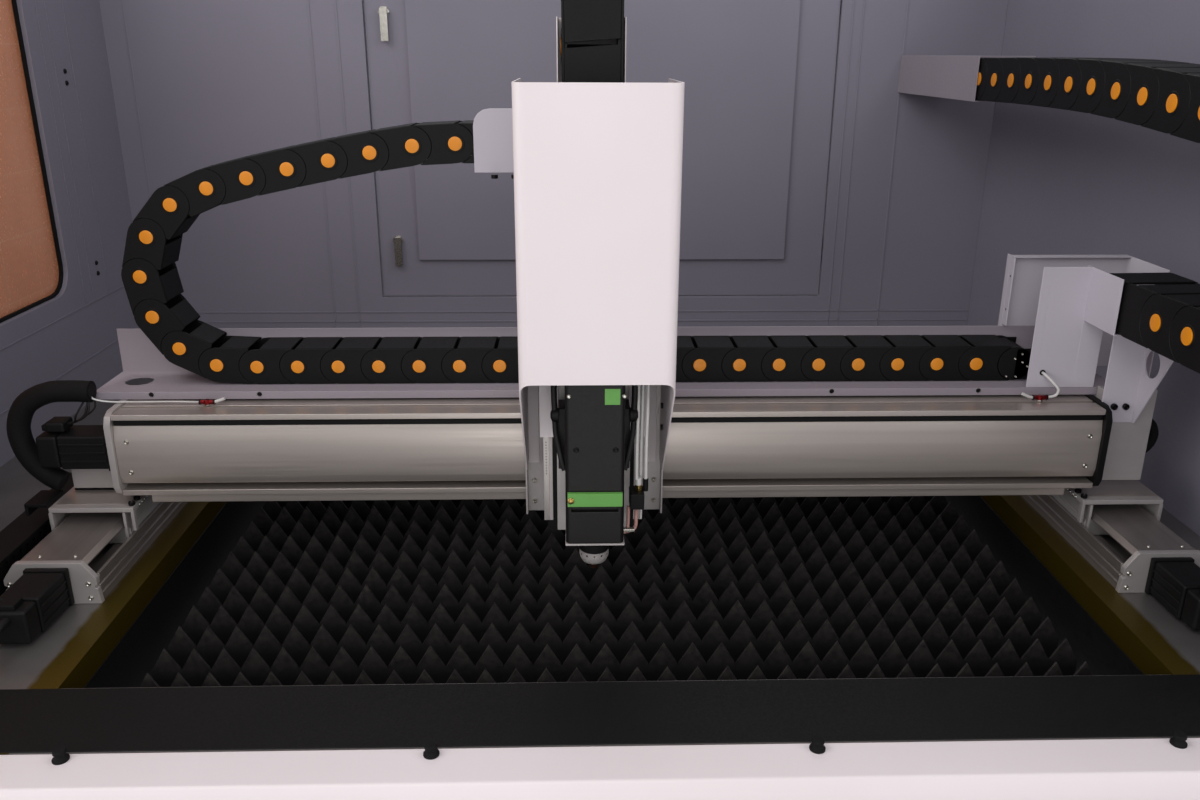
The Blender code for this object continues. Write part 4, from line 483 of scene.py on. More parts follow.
def bar(outline: Sequence[Pair], place: Axis | Matrix, start: float, end: float, edge: float = 0.0,
        segments: int = 2) -> bmesh.types.BMesh:
    """A prism: an outline drawn out along a direction.

    Args:
        outline: corners in the two other axes, or in the place's own X and Y.
        place: the direction, or the whole placing.
        start: where it begins along that direction.
        end: where it ends.
        edge: width of the rounding on its sharp edges.
        segments: steps in the rounding.

    Returns:
        The part.
    """
    part = bmesh.new()
    part.faces.new([part.verts.new((a, b, start)) for a, b in outline])
    return thickened(part, place, start, end, edge, segments)


def rod(centre: Pair, radius: float, place: Axis | Matrix, start: float, end: float, sides: int = 24,
        edge: float = 0.0, tip: float | None = None) -> bmesh.types.BMesh:
    """A round bar, or a cone where its tip's radius is given.

    Args:
        centre: its middle, in the two other axes.
        radius: radius where it starts.
        place: its direction, or the whole placing.
        start: where it begins along that direction.
        end: where it ends.
        sides: faces round it.
        edge: rounding of its rims.
        tip: radius where it ends.

    Returns:
        The part.
    """
    part = bmesh.new()
    bmesh.ops.create_cone(part, cap_ends=True, segments=sides, radius1=radius,
        radius2=radius if tip is None else tip, depth=abs(end - start))
    bmesh.ops.translate(part, vec=(centre[0], centre[1], (start + end) / 2), verts=part.verts[:])
    if tip is not None and end < start:
        bmesh.ops.scale(part, vec=(1, 1, -1), space=Matrix.Translation((0, 0, -(start + end) / 2)),
            verts=part.verts[:])
        bmesh.ops.recalc_face_normals(part, faces=part.faces[:])
    return placed(eased(part, edge), place)


def turned(profile: Sequence[Pair], centre: Pair, place: Axis | Matrix, sides: int = 32,
        closed: bool = False) -> bmesh.types.BMesh:
    """A turned form.

    Args:
        profile: radius and place along the direction, in order; it ends on the axis, or is a closed loop.
        centre: the axis, in the two other axes.
        place: its direction, or the whole placing.
        sides: faces round it.
        closed: whether the last point joins the first.

    Returns:
        The part.
    """
    part = bmesh.new()
    verts = [part.verts.new((radius, 0, along)) for radius, along in profile]
    count = len(verts) if closed else len(verts) - 1
    edges = [part.edges.new((verts[k], verts[(k + 1) % len(verts)])) for k in range(count)]
    bmesh.ops.spin(part, geom=verts + edges, cent=(0, 0, 0), axis=(0, 0, 1), angle=2 * math.pi, steps=sides,
        use_merge=True)
    bmesh.ops.remove_doubles(part, verts=part.verts[:], dist=1e-6)
    bmesh.ops.recalc_face_normals(part, faces=part.faces[:])
    bmesh.ops.translate(part, vec=(centre[0], centre[1], 0), verts=part.verts[:])
    return placed(part, place)


def arc(centre: Pair, radius: float, begin: float, end: float, steps: int) -> list[Pair]:
    """Points of an arc, from one angle to the other in degrees."""
    angles = [math.radians(begin + (end - begin) * k / steps) for k in range(steps + 1)]
    return [(centre[0] + radius * math.cos(angle),
        centre[1] + radius * math.sin(angle)) for angle in angles]


def rounded(low: Pair, high: Pair, radius: float, steps: int = 5) -> list[Pair]:
    """The outline of a rectangle with round corners."""
    corners = [(high[0] - radius, high[1] - radius, 0), (low[0] + radius, high[1] - radius, 90),
        (low[0] + radius, low[1] + radius, 180), (high[0] - radius, low[1] + radius, 270)]
    return [spot for x, y, begin in corners for spot in arc((x, y), radius, begin, begin + 90, steps)]


def closed_edges(part: bmesh.types.BMesh, outline: Sequence[Pair],
        level: float) -> list[bmesh.types.BMEdge]:
    """Adds a closed outline to the part and returns its edges."""
    verts = [part.verts.new((a, b, level)) for a, b in outline]
    return [part.edges.new((verts[k], verts[(k + 1) % len(verts)])) for k in range(len(verts))]


def ring_plate(outer: Sequence[Pair], inner: Sequence[Pair], axis: Axis, start: float, end: float,
        edge: float = 0.0) -> bmesh.types.BMesh:
    """A flat frame between two outlines with the same number of corners.

    Args:
        outer: the outer outline.
        inner: the inner one.
        axis: the direction of its thickness.
        start: where it begins along that direction.
        end: where it ends.
        edge: width of the rounding.

    Returns:
        The part.
    """
    part = bmesh.new()
    loops = closed_edges(part, outer, start) + closed_edges(part, inner, start)
    bmesh.ops.bridge_loops(part, edges=loops)
    return thickened(part, axis, start, end, edge)


def holed_plate(outline: Sequence[Pair], hole: Sequence[Pair], axis: Axis, start: float,
        end: float) -> bmesh.types.BMesh:
    """A flat plate with one hole.

    Args:
        outline: its outline.
        hole: the hole's outline.
        axis: the direction of its thickness.
        start: where it begins along that direction.
        end: where it ends.

    Returns:
        The part.
    """
    part = bmesh.new()
    edges = closed_edges(part, outline, start) + closed_edges(part, hole, start)
    bmesh.ops.triangle_fill(part, edges=edges, use_beauty=True, use_dissolve=False)
    return thickened(part, axis, start, end)


def facing(place: Point, direction: Point) -> Matrix:
    """A placing whose Z looks along the direction from the place."""
    turn = Vector(direction).normalized().to_track_quat("Z", "Y").to_matrix().to_4x4()
    return Matrix.Translation(place) @ turn


class Screw(Enum):
    """Kinds of screw, each as head radius, head height and socket radius over the thread's diameter."""

    SOCKET = (0.85, 0.95, 0.42)
    BUTTON = (1.0, 0.5, 0.36)
    HEX = (0.95, 0.65, 0.0)


@dataclass
class Shape:
    """A piece in the making: parts joined in one mesh, each with its own finish."""

    mesh: bmesh.types.BMesh = field(default_factory=bmesh.new)
    finishes: list[Finish] = field(default_factory=list)

    def put(self, finish: Finish, *parts: bmesh.types.BMesh) -> "Shape":
        """Adds parts in a finish.

        Args:
            finish: the finish of all their faces.
            parts: the parts, which are used up.

        Returns:
            The shape itself.
        """
        if finish not in self.finishes:
            self.finishes.append(finish)
        for part in parts:
            bmesh.ops.recalc_face_normals(part, faces=part.faces[:])
            for face in part.faces:
                face.material_index = self.finishes.index(finish)
            scratch = bpy.data.meshes.new("scratch")
            part.to_mesh(scratch)
            part.free()
            self.mesh.from_mesh(scratch)
            bpy.data.meshes.remove(scratch)
        return self

    def node(self, name: str, finish: Finish, edge: float = 0.8 * MM, segments: int = 2) -> "Shape":
        """Adds a CAD node's own form with its edges eased.

        Args:
            name: the node.
            finish: its finish.
            edge: width of the rounding.
            segments: steps in the rounding.

        Returns:
            The shape itself.
        """
        part = bmesh.new()
        part.from_mesh(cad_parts[name].data)
        bmesh.ops.remove_doubles(part, verts=part.verts[:], dist=2e-6)
        bmesh.ops.dissolve_limit(part, angle_limit=math.radians(0.5), verts=part.verts[:],
            edges=part.edges[:])
        bmesh.ops.recalc_face_normals(part, faces=part.faces[:])
        return self.put(finish, eased(part, edge, segments, 32.0))

    def screw(self, finish: Finish, place: Point, direction: Point, thread: float,
            kind: Screw = Screw.SOCKET) -> "Shape":
        """Adds a screw's head.

        Args:
            finish: its finish.
            place: the middle of the seat under its head.
            direction: the way its head looks.
            thread: the thread's diameter.
            kind: the head's form.

        Returns:
            The shape itself.
        """
        radius, height, socket = (share * thread for share in kind.value)
        sides = 6 if kind is Screw.HEX else 16
        part = bmesh.new()
        bmesh.ops.create_cone(part, cap_ends=True, segments=sides, radius1=radius,
            radius2=radius * (0.72 if kind is Screw.BUTTON else 1.0), depth=height)
        bmesh.ops.translate(part, vec=(0, 0, height / 2), verts=part.verts[:])
        eased(part, height * 0.12, 1)
        part.faces.ensure_lookup_table()
        top = max(part.faces, key=lambda face: face.calc_center_median().z)
        if socket:
            wide = max((v.co - top.calc_center_median()).length for v in top.verts)
            bmesh.ops.inset_region(part, faces=[top], thickness=wide - socket, depth=0.0)
            bmesh.ops.translate(part, vec=(0, 0, -height * 0.5), verts=list(top.verts))
        return self.put(finish, placed(part, facing(place, direction)))

    def screws(self, finish: Finish, places: Iterable[Point], direction: Point, thread: float,
            kind: Screw = Screw.SOCKET) -> "Shape":
        """Adds the heads of like screws at several places, and returns the shape."""
        for place in places:
            self.screw(finish, place, direction, thread, kind)
        return self

    def hose(self, finish: Finish, points: Sequence[Point], radius: float, sides: int = 10,
            steps: int = 8) -> "Shape":
        """Adds a hose or cable on a smooth line through the points.

        Args:
            finish: its finish.
            points: places that its middle line goes through.
            radius: its radius.
            sides: faces round it.
            steps: rings between two points.

        Returns:
            The shape itself.
        """
        line = smooth_line([Vector(p) for p in points], steps)
        part = bmesh.new()
        heading = (line[1] - line[0]).normalized()
        up = Vector((0, 0, 1)) if abs(heading.z) < 0.9 else Vector((1, 0, 0))
        across = heading.cross(up).normalized()
        ring = bmesh.ops.create_circle(part, cap_ends=False, segments=sides, radius=radius)["verts"]
        turn = Matrix((across, heading.cross(across), heading)).transposed().to_4x4()
        bmesh.ops.transform(part, matrix=Matrix.Translation(line[0]) @ turn, verts=ring)
        edges = list({e for v in ring for e in v.link_edges})
        part.faces.new(ring)
        for before, here in zip(line, line[1:]):
            index = line.index(here)
            after = line[min(index + 1, len(line) - 1)]
            new_heading = (after - before).normalized()
            drawn = bmesh.ops.extrude_edge_only(part, edges=edges)["geom"]
            ring = [v for v in drawn if isinstance(v, bmesh.types.BMVert)]
            edges = [e for e in drawn if isinstance(e, bmesh.types.BMEdge)]
            bmesh.ops.translate(part, vec=here - before, verts=ring)
            swing = heading.rotation_difference(new_heading).to_matrix()
            bmesh.ops.rotate(part, cent=here, matrix=swing, verts=ring)
            heading = new_heading
        bmesh.ops.edgeloop_fill(part, edges=edges)
        bmesh.ops.recalc_face_normals(part, faces=part.faces[:])
        return self.put(finish, part)

    def done(self, name: str, body: str, replaced: Sequence[str] = (),
            smooth: float = 40.0) -> bpy.types.Object:
        """Makes the piece.

        Args:
            name: its name.
            body: the body that it rides on, or nothing.
            replaced: the CAD nodes that it stands for.
            smooth: edges flatter than this many degrees are shaded round.

        Returns:
            The piece.
        """
        data = bpy.data.meshes.new(name)
        for face in self.mesh.faces:
            face.smooth = True
        self.mesh.to_mesh(data)
        self.mesh.free()
        for finish in self.finishes:
            data.materials.append(finish.material())
        data.set_sharp_from_angle(angle=math.radians(smooth))
        made = bpy.data.objects.new(name, data)
        bpy.context.scene.collection.objects.link(made)
        weighted = made.modifiers.new("weighted", "WEIGHTED_NORMAL")
        weighted.keep_sharp = True
        if body:
            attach(made, body)
        if replaced:
            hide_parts(*replaced)
        LOG.info("%s: %d faces", name, len(data.polygons))
        return made


def smooth_line(points: Sequence[Vector], steps: int) -> list[Vector]:
    """A line through the points with no kinks.

    Args:
        points: the places it goes through.
        steps: stretches between two of them.

    Returns:
        The line's points.
    """
    ends = [2 * points[0] - points[1], *points, 2 * points[-1] - points[-2]]
    line = [points[0]]
    for before, start, end, after in zip(ends, ends[1:], ends[2:], ends[3:]):
        for k in range(1, steps + 1):
            t = k / steps
            line.append(0.5 * (2 * start + (end - before) * t + (2 * before - 5 * start + 4 * end - after) *
                t ** 2 + (3 * start - before - 3 * end + after) * t ** 3))
    return line


def ease_nodes(body: str, *rows: tuple[str, Finish, str, float]) -> None:
    """Replaces CAD nodes by their own form with eased edges.

    Args:
        body: the body that they ride on.
        rows: each node's name, its finish, the piece's name and the rounding in millimetres.
    """
    for node, finish, name, edge in rows:
        Shape().node(node, finish, edge * MM).done(name, body, [node])


def dress(finish: Finish, *nodes: str) -> None:
    """Gives CAD nodes their finish."""
    for name in nodes:
        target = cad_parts[name]
        target.data.materials.clear()
        target.data.materials.append(finish.material())
        LOG.info("%s dressed in %s", name, finish.name)


# The studio


@dataclass
class Studio:
    """Camera at the photograph's place, plain lamps and a pale floor."""

    eye: Point = (0.0327, -1.7616, 1.6131)
    yaw: float = 1.562
    pitch: float = 19.203
    roll: float = 0.212
    lens: float = 29.92
    world_strength: float = 0.56
    floor_size: float = 14.0
    lamps: ClassVar[tuple[tuple[str, Point, Point, float, float], ...]] = (
        ("key", (-0.3, -2.3, 2.5), (0.05, 0.0, 1.0), 1.5, 17.0),
        ("over_left", (-1.8, -0.9, 3.3), (1.1, -0.2, 1.0), 1.6, 30.0),
        ("over_right", (2.0, -0.9, 3.3), (-1.1, -0.2, 1.0), 1.6, 18.0),
        ("side", (-2.9, -2.6, 1.8), (0.3, 0.0, 1.0), 1.6, 26.0),
        ("left", (2.8, -2.6, 1.9), (-0.8, 0.1, 1.1), 1.6, 18.0),
        ("low", (0.05, -2.7, 0.45), (0.05, -0.3, 1.0), 0.9, 5.0),
        ("back", (0.4, 3.6, 3.2), (0.0, 0.6, 0.8), 2.0, 30.0),
    )

    def build(self) -> None:
        """Makes everything that isn't the machine."""
        self.camera()
        for name, place, aim, size, power in self.lamps:
            self.lamp(name, place, aim, size, power)
        self.world()
        self.floor()

    def camera(self) -> None:
        """Sets the camera."""
        data = bpy.data.cameras.new("camera")
        data.lens = self.lens
        data.sensor_width = 36.0
        data.clip_end = 60.0
        made = bpy.data.objects.new("camera", data)
        made.location = self.eye
        turn = Matrix.Rotation(math.radians(-self.yaw), 4, "Z")
        turn = turn @ Matrix.Rotation(math.radians(90 - self.pitch), 4, "X")
        turn = turn @ Matrix.Rotation(math.radians(self.roll), 4, "Z")
        made.rotation_euler = turn.to_euler()
        bpy.context.scene.collection.objects.link(made)
        bpy.context.scene.camera = made

    def lamp(self, name: str, place: Point, aim: Point, size: float, power: float) -> None:
        """Adds a square soft lamp.

        Args:
            name: its name.
            place: where it hangs.
            aim: what it looks at.
            size: its side.
            power: its power in watts.
        """
        data = bpy.data.lights.new(name, "AREA")
        data.size = size
        data.energy = power
        made = bpy.data.objects.new(name, data)
        made.matrix_world = facing(place, tuple(Vector(place) - Vector(aim)))
        bpy.context.scene.collection.objects.link(made)

    def world(self) -> None:
        """Soft light from all round, and white where the camera or glass sees past the machine."""
        made = bpy.data.worlds.new("world")
        made.use_nodes = True
        tree = made.node_tree
        tree.nodes.clear()
        soft = add(tree, "ShaderNodeBackground", {"Color": linear("#eeeef2"),
            "Strength": self.world_strength})
        pale = add(tree, "ShaderNodeBackground", {"Color": linear("#f0f0f1"), "Strength": 1.0})
        path = add(tree, "ShaderNodeLightPath")
        seen = add(tree, "ShaderNodeMath", {"operation": "MAXIMUM"}, {0: path.outputs["Is Camera Ray"],
            1: path.outputs["Is Transmission Ray"]})
        mixed = add(tree, "ShaderNodeMixShader", None, {0: seen.outputs[0], 1: soft.outputs[0],
            2: pale.outputs[0]})
        add(tree, "ShaderNodeOutputWorld", None, {"Surface": mixed.outputs[0]})
        bpy.context.scene.world = made

    def floor(self) -> None:
        """A plain pale floor."""
        part = bmesh.new()
        bmesh.ops.create_grid(part, x_segments=1, y_segments=1, size=self.floor_size / 2)
        data = bpy.data.meshes.new("floor")
        part.to_mesh(data)
        part.free()
        made = bpy.data.objects.new("floor", data)
        data.materials.append(Finish("floor_paint", "#e6e5e4", 0.8, "white_enamel",
            shade="#e2e1e0").material())
        bpy.context.scene.collection.objects.link(made)


# The machine's lower part


@dataclass
class LowerMachine:
    """Base cabinet, scrap drawer, bed plate, front rail and comb slats."""

    rail_top: float = 0.84
    apron_x: Pair = (-1.094, 1.094)
    apron_y: Pair = (-0.7824, -0.659)
    duct_x: Pair = (-0.87, -0.815)
    duct_y: Pair = (-0.6, 0.74)
    duct_z: Pair = (0.8402, 0.9)
    duct_fingers: int = 66
    duct_pitch: float = 20.0 * MM
    duct_finger: float = 13.0 * MM
    duct_wall: float = 2.0 * MM
    bumper_x: tuple[float, ...] = (-0.99, -0.562, -0.136, 0.3165, 0.748)
    bumper_y: float = -0.795

    def build(self) -> None:
        """Makes and dresses the pieces."""
        ease_nodes("machine", ("base_cabinet", CABINET_ENAMEL, "cabinet", 2.5))
        Shape().node("front_rail", WHITE_ENAMEL, 3.0 * MM, 3).done("rail", "machine", ["front_rail"])
        dress(WALL_ENAMEL, "scrap_drawer")
        dress(SLAT_STEEL, "slat_bed")
        dress(BED_STEEL, "bed_plate")
        self.apron()
        self.bumpers()
        self.cable_duct()

    def apron(self) -> None:
        """The black painted plate between the rail and the first slat, and beside the pit."""
        low, high = self.rail_top + 0.1 * MM, self.rail_top + 1.4 * MM
        corners = zip(self.apron_x, self.apron_y, (low, high))
        Shape().put(APRON_PAINT, block(*corners, 0.5 * MM, 1)).done("apron", "machine")

    def cable_duct(self) -> None:
        """The slotted wiring duct on the bed beside the left module, with its lid and its cable."""
        (left, right), (front, rear), (low, high) = self.duct_x, self.duct_y, self.duct_z
        wall, inset = self.duct_wall, 5.0 * MM
        shape = Shape()
        trough = (left + wall, front + inset, low), (right - wall, rear - inset, high - 12 * MM)
        shape.put(POLYAMIDE, block(*trough, 1.0 * MM))
        shape.put(POLYAMIDE, block((left, front, high - 8 * MM), (right, rear, high), 1.5 * MM))
        for k in range(self.duct_fingers):
            y = front + 10 * MM + k * self.duct_pitch
            for x in (left, right - wall):
                finger = (x, y, low + 8 * MM), (x + wall, y + self.duct_finger, high - 7 * MM)
                shape.put(POLYAMIDE, block(*finger, 0.4 * MM, 1))
        shape.hose(CABLE_BLACK, [(-0.842, -0.59, 0.87), (-0.842, -0.63, 0.868), (-0.836, -0.668, 0.858),
            (-0.815, -0.69, 0.8495), (-0.78, -0.695, 0.848), (-0.745, -0.68, 0.8485), (-0.737, -0.64, 0.86),
            (-0.737, -0.6, 0.88), (-0.737, -0.566, 0.885)], 6.0 * MM, 12)
        shape.done("cable_duct", "machine")

    def bumpers(self) -> None:
        """Turned rubber bumpers on the rail, each with a neck."""
        shape = Shape()
        for x in self.bumper_x:
            profile = [(0.0, 0.0), (9.5 * MM, 0.0), (9.5 * MM, 2.0 * MM), (7.0 * MM, 4.0 * MM),
                (6.2 * MM, 8.0 * MM), (7.6 * MM, 9.5 * MM), (7.6 * MM, 12.0 * MM), (6.4 * MM, 13.6 * MM),
                (0.0, 13.8 * MM)]
            at = Matrix.Translation((x, self.bumper_y, self.rail_top + 0.1 * MM))
            shape.put(RUBBER, turned(profile, (0, 0), at, 24))
        shape.done("rail_bumpers", "machine")


# The enclosure


@dataclass
class Enclosure:
    """Walls with their folds, window with its gasket, rear door with its fittings, top frame."""

    wall_low: float = 0.8003
    wall_high: float = 1.95
    rear_face: float = 0.826
    left_face: float = -1.095
    right_face: float = 1.095
    window_y: Pair = (-0.64, 0.465)
    window_z: Pair = (1.102, 1.78)
    window_radius: float = 0.06
    gasket_reach: float = 7.0 * MM
    gasket_x: tuple[Pair, Pair] = ((-1.1115, -1.104), (-1.1262, -1.1187))
    seam_height: float = 1.6 * MM
    rear_seams: tuple[Pair, ...] = ((-0.6, 5.0), (-0.535, 5.0), (0.716, 4.0), (0.742, 4.0), (0.849, 5.0),
        (-1.04, 4.0))

    def build(self) -> None:
        """Makes and dresses the pieces."""
        walls = ("left_wall", "right_wall", "rear_wall", "top_frame")
        ease_nodes("machine", *((name, WALL_ENAMEL, name.replace("_", "."), 1.5) for name in walls))
        ease_nodes("door", ("rear_door", WALL_ENAMEL, "rear.door", 1.5))
        ease_nodes("machine", ("chain_shelf", TRAY_ENAMEL_SHADED, "shelf", 0.8))
        dress(WINDOW_ACRYLIC, "laser_window")
        self.gasket()
        self.rear_folds()
        self.left_fittings()
        self.locks()

    def gasket(self) -> None:
        """Black rubber profile round the window, inside and outside."""
        shape = Shape()
        outer = rounded((self.window_y[0], self.window_z[0]), (self.window_y[1], self.window_z[1]),
            self.window_radius)
        reach = self.gasket_reach
        inner = rounded((self.window_y[0] + reach, self.window_z[0] + reach),
            (self.window_y[1] - reach, self.window_z[1] - reach), self.window_radius - reach)
        for low, high in self.gasket_x:
            shape.put(RUBBER, ring_plate(outer, inner, Axis.X, low, high, 1.5 * MM))
        shape.done("window_gasket", "machine")

    def rear_folds(self) -> None:
        """Folded seams of the rear wall's sheets, as low round ribs."""
        shape = Shape()
        face = self.rear_face
        for x, width in self.rear_seams:
            half = width * MM / 2
            shape.put(WALL_ENAMEL, block((x - half, face - self.seam_height, self.wall_low + 0.02),
                (x + half, face - 0.05 * MM, self.wall_high - 0.004), 0.7 * MM))
        for z in (0.936, 0.962):
            shape.put(WALL_ENAMEL, block((self.left_face + 0.004, face - self.seam_height, z - 2.0 * MM),
                (self.right_face - 0.004, face - 0.05 * MM, z + 2.0 * MM), 0.7 * MM))
        shape.done("rear_seams", "machine")

    def left_fittings(self) -> None:
        """Seams and bolts inside the left wall."""
        shape = Shape()
        face = self.left_face
        for z in (0.938, 1.057):
            shape.put(WALL_ENAMEL, block((face + 0.05 * MM, -0.85, z - 1.5 * MM),
                (face + 1.5 * MM, 0.82, z + 1.5 * MM), 0.6 * MM))
        for y in (0.52, 0.56, 0.64):
            shape.put(WALL_ENAMEL, block((face + 0.05 * MM, y - 2.0 * MM, 1.062),
                (face + 1.5 * MM, y + 2.0 * MM, 1.944), 0.6 * MM))
        bolts = [(face + 0.1 * MM, 0.6, z) for z in (1.57, 1.545, 1.14, 1.115)]
        shape.screws(BLACK_OXIDE, bolts, (1, 0, 0), 6 * MM, Screw.BUTTON)
        shape.done("left_wall_fittings", "machine")

    def locks(self) -> None:
        """The two cam locks on the door."""
        for level in ("lower", "upper"):
            ease_nodes(f"{level}_lock", (f"cam_lock_{level}", ZINC, f"lock_{level}", 0.8))


# Linear modules and the gantry


@dataclass
class YAxis:
    """One Y module with its motor, and the carriage that the gantry stands on."""

    side: Side
    centre: float
    front: float = -0.448
    rear: float = 0.752
    base: float = 0.8403
    plate: float = 10.0 * MM
    motor_half: float = 31.0 * MM
    motor_z: Pair = (0.8425, 0.9015)
    motor_rear: float = -0.4485
    housing_front: float = -0.533
    encoder_front: float = -0.5663
    bridge_z: Pair = (0.9255, 0.9335)

    def build(self) -> None:
        """Makes and dresses the pieces."""
        label = self.side.label
        self.extrusion()
        self.lid()
        Shape().put(BLASTED, self.end_plate(self.front, self.front + self.plate)).done(f"y_end_cap_{label}",
            "machine", [f"y_end_{label}"])
        self.motor()
        self.carriage()
        self.screws()

    def mirrored(self, right: Sequence[Pair]) -> list[Pair]:
        """A closed outline seated on the bed, from its right half given upwards."""
        both = list(right) + [(-a, b) for a, b in reversed(right)]
        return [(self.centre + a, self.base + b) for a, b in both]

    def extrusion(self) -> None:
        """The open aluminium section with its grooves, guide rails, screws and rear end plate."""
        label = self.side.label
        start, end = self.front + self.plate + 0.3 * MM, self.rear - self.plate
        shape = Shape()
        right = [(0.0675, 0.0), (0.0675, 0.012), (0.064, 0.0135), (0.064, 0.0175), (0.0675, 0.019),
            (0.0675, 0.0262), (0.0645, 0.0275), (0.0645, 0.0305), (0.0675, 0.032), (0.0675, 0.045),
            (0.0625, 0.045), (0.0625, 0.01)]
        shape.put(BRUSHED_Y_SHADED, bar(self.mirrored(right), Axis.Y, start, end, 0.4 * MM, 1))
        for side in (-1, 1):
            x = self.centre + side * 0.04
            shape.put(BRUSHED_Y_SHADED, block((x - 0.0095, start, self.base + 0.01),
                (x + 0.0095, end, self.base + 0.026), 1.0 * MM))
            x = self.centre + side * 0.056
            shape.put(POLYAMIDE, block((x - 0.0064, start, self.base + 0.01),
                (x + 0.0064, end, self.base + 0.021), 0.3 * MM, 1))
            row = [(x, start + 0.03 + k * 0.06, self.base + 0.0211) for k in range(19)]
            shape.screws(ZINC, row, UP, 4 * MM, Screw.BUTTON)
        shape.put(BLASTED, self.end_plate(self.rear - self.plate, self.rear))
        shape.done(f"y_extrusion_{label}", "machine", [f"y_module_{label}"])

    def lid(self) -> None:
        """The cover plate that floats over the section between the two end plates, with sloping edges."""
        label = self.side.label
        right = [(0.044, 0.06), (0.052, 0.057), (0.0525, 0.0595), (0.044, 0.0655)]
        shape = Shape()
        shape.put(BRUSHED_Y_SHADED, bar(self.mirrored(right), Axis.Y, self.front + 10.3 * MM,
            self.rear - 10.3 * MM, 0.4 * MM, 1))
        shape.done(f"y_lid_{label}", "machine", [f"y_cover_{label}"])

    def end_plate(self, start: float, end: float) -> bmesh.types.BMesh:
        """An arched end plate with its groove notch, between two places along Y."""
        right = [(0.0695, 0.0), (0.0668, 0.0245), (0.0632, 0.0262), (0.0632, 0.0292), (0.0672, 0.031),
            (0.0672, 0.04), (0.0655, 0.0432), (0.05, 0.065), (0.046, 0.0672)]
        return bar(self.mirrored(right), Axis.Y, start, end, 0.8 * MM)

    def motor(self) -> None:
        """The servo motor: flange, ribbed housing, encoder cap and a plug on top."""
        label = self.side.label
        shape = Shape()
        x0, x1 = self.centre - self.motor_half, self.centre + self.motor_half
        (low, high), rear = self.motor_z, self.motor_rear
        shape.put(MOTOR_COAT, block((x0, rear - 10 * MM, low), (x1, rear, high), 2.0 * MM))
        shape.put(MOTOR_COAT, block((x0 + 2 * MM, self.housing_front, low + 2 * MM),
            (x1 - 2 * MM, rear - 9.5 * MM, high - 2 * MM), 4.0 * MM, 3))
        shape.put(MOTOR_COAT, block((x0 + 4 * MM, self.encoder_front, low + 4 * MM),
            (x1 - 4 * MM, self.housing_front - 0.5 * MM, high - 4 * MM), 5.0 * MM, 3))
        for z in (0.857, 0.871, 0.885):
            for x in (x0 + 1.6 * MM, x1 - 1.6 * MM):
                shape.put(MOTOR_COAT, block((x - 1.2 * MM, -0.53, z - 1.5 * MM),
                    (x + 1.2 * MM, -0.46, z + 1.5 * MM), 0.5 * MM, 1))
        shape.put(POLYAMIDE, block((self.centre - 12 * MM, -0.562, high - 5 * MM),
            (self.centre + 12 * MM, -0.538, high + 4 * MM), 2.0 * MM))
        inset = 6 * MM
        levels = (low + inset, high - inset)
        corners = [(x, rear - 10 * MM, z) for x in (x0 + inset, x1 - inset) for z in levels]
        shape.screws(BLACK_OXIDE, corners, FRONT, 4 * MM)
        shape.done(f"y_servo_{label}", "machine", [f"y_motor_{label}"])

    def carriage(self) -> None:
        """The saddle: a block inside the module, two legs through the slots, a bridge over the lid."""
        label = self.side.label
        node = f"y_carriage_{label}"
        low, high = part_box(node)
        inward = -self.side.value
        shape = Shape()
        start, end = low[1], high[1]
        sides = sorted((self.centre + inward * 0.074, self.centre - inward * 0.058))
        legs = [self.centre - 0.0575, self.centre + 0.0575]
        shape.put(BLASTED, block((sides[0], start, self.bridge_z[0]), (sides[1], end, self.bridge_z[1]),
            1.2 * MM))
        shape.put(BLASTED, block((self.centre - 0.061, start + 8 * MM, 0.8672),
            (self.centre + 0.061, end - 8 * MM, 0.895), 1.0 * MM))
        for x in legs:
            shape.put(BLASTED, block((x - 2.2 * MM, start + 1 * MM, 0.876),
                (x + 2.2 * MM, end - 1 * MM, 0.9245), 0.6 * MM))
        for x in sides:
            near = x + (5 * MM if x == sides[0] else -5 * MM)
            shape.put(BLASTED, block((min(x, near), start, 0.8935), (max(x, near), start + 9 * MM, 0.926),
                0.8 * MM))
        shape.put(BRUSHED_X_LIT, block((sides[0] + 6 * MM, start + 14 * MM, 0.9336),
            (sides[1] - 2 * MM, end, 0.9342), 0.2 * MM, 1))
        inner = self.centre + inward * 0.0685
        top = [(inner, y, 0.9342) for y in (start + 10 * MM, start + 30 * MM, end - 30 * MM, end - 10 * MM)]
        edge = [(self.centre + inward * 0.0742, start + step * MM, 0.929) for step in (24, 34, 44, 54)]
        shape.screws(BLACK_OXIDE, top, UP, 6 * MM).screws(ZINC, edge, (inward, 0, 0), 3 * MM, Screw.BUTTON)
        shape.done(f"y_saddle_{label}", "gantry", [node])

    def screws(self) -> None:
        """Screws in the end cap and the lid."""
        shape = Shape()
        end = [(self.centre + x, self.front - 0.1 * MM, z) for x in (-0.059, 0.055) for z in (0.85, 0.8735)]
        lid = [(self.centre + x, y, self.base + 0.0656) for y in (-0.424, 0.73) for x in (-0.022, 0.03)]
        shape.screws(ZINC, end, FRONT, 4 * MM, Screw.BUTTON).screws(ZINC, lid, UP, 3 * MM, Screw.BUTTON)
        shape.done(f"y_screws_{self.side.label}", "machine")


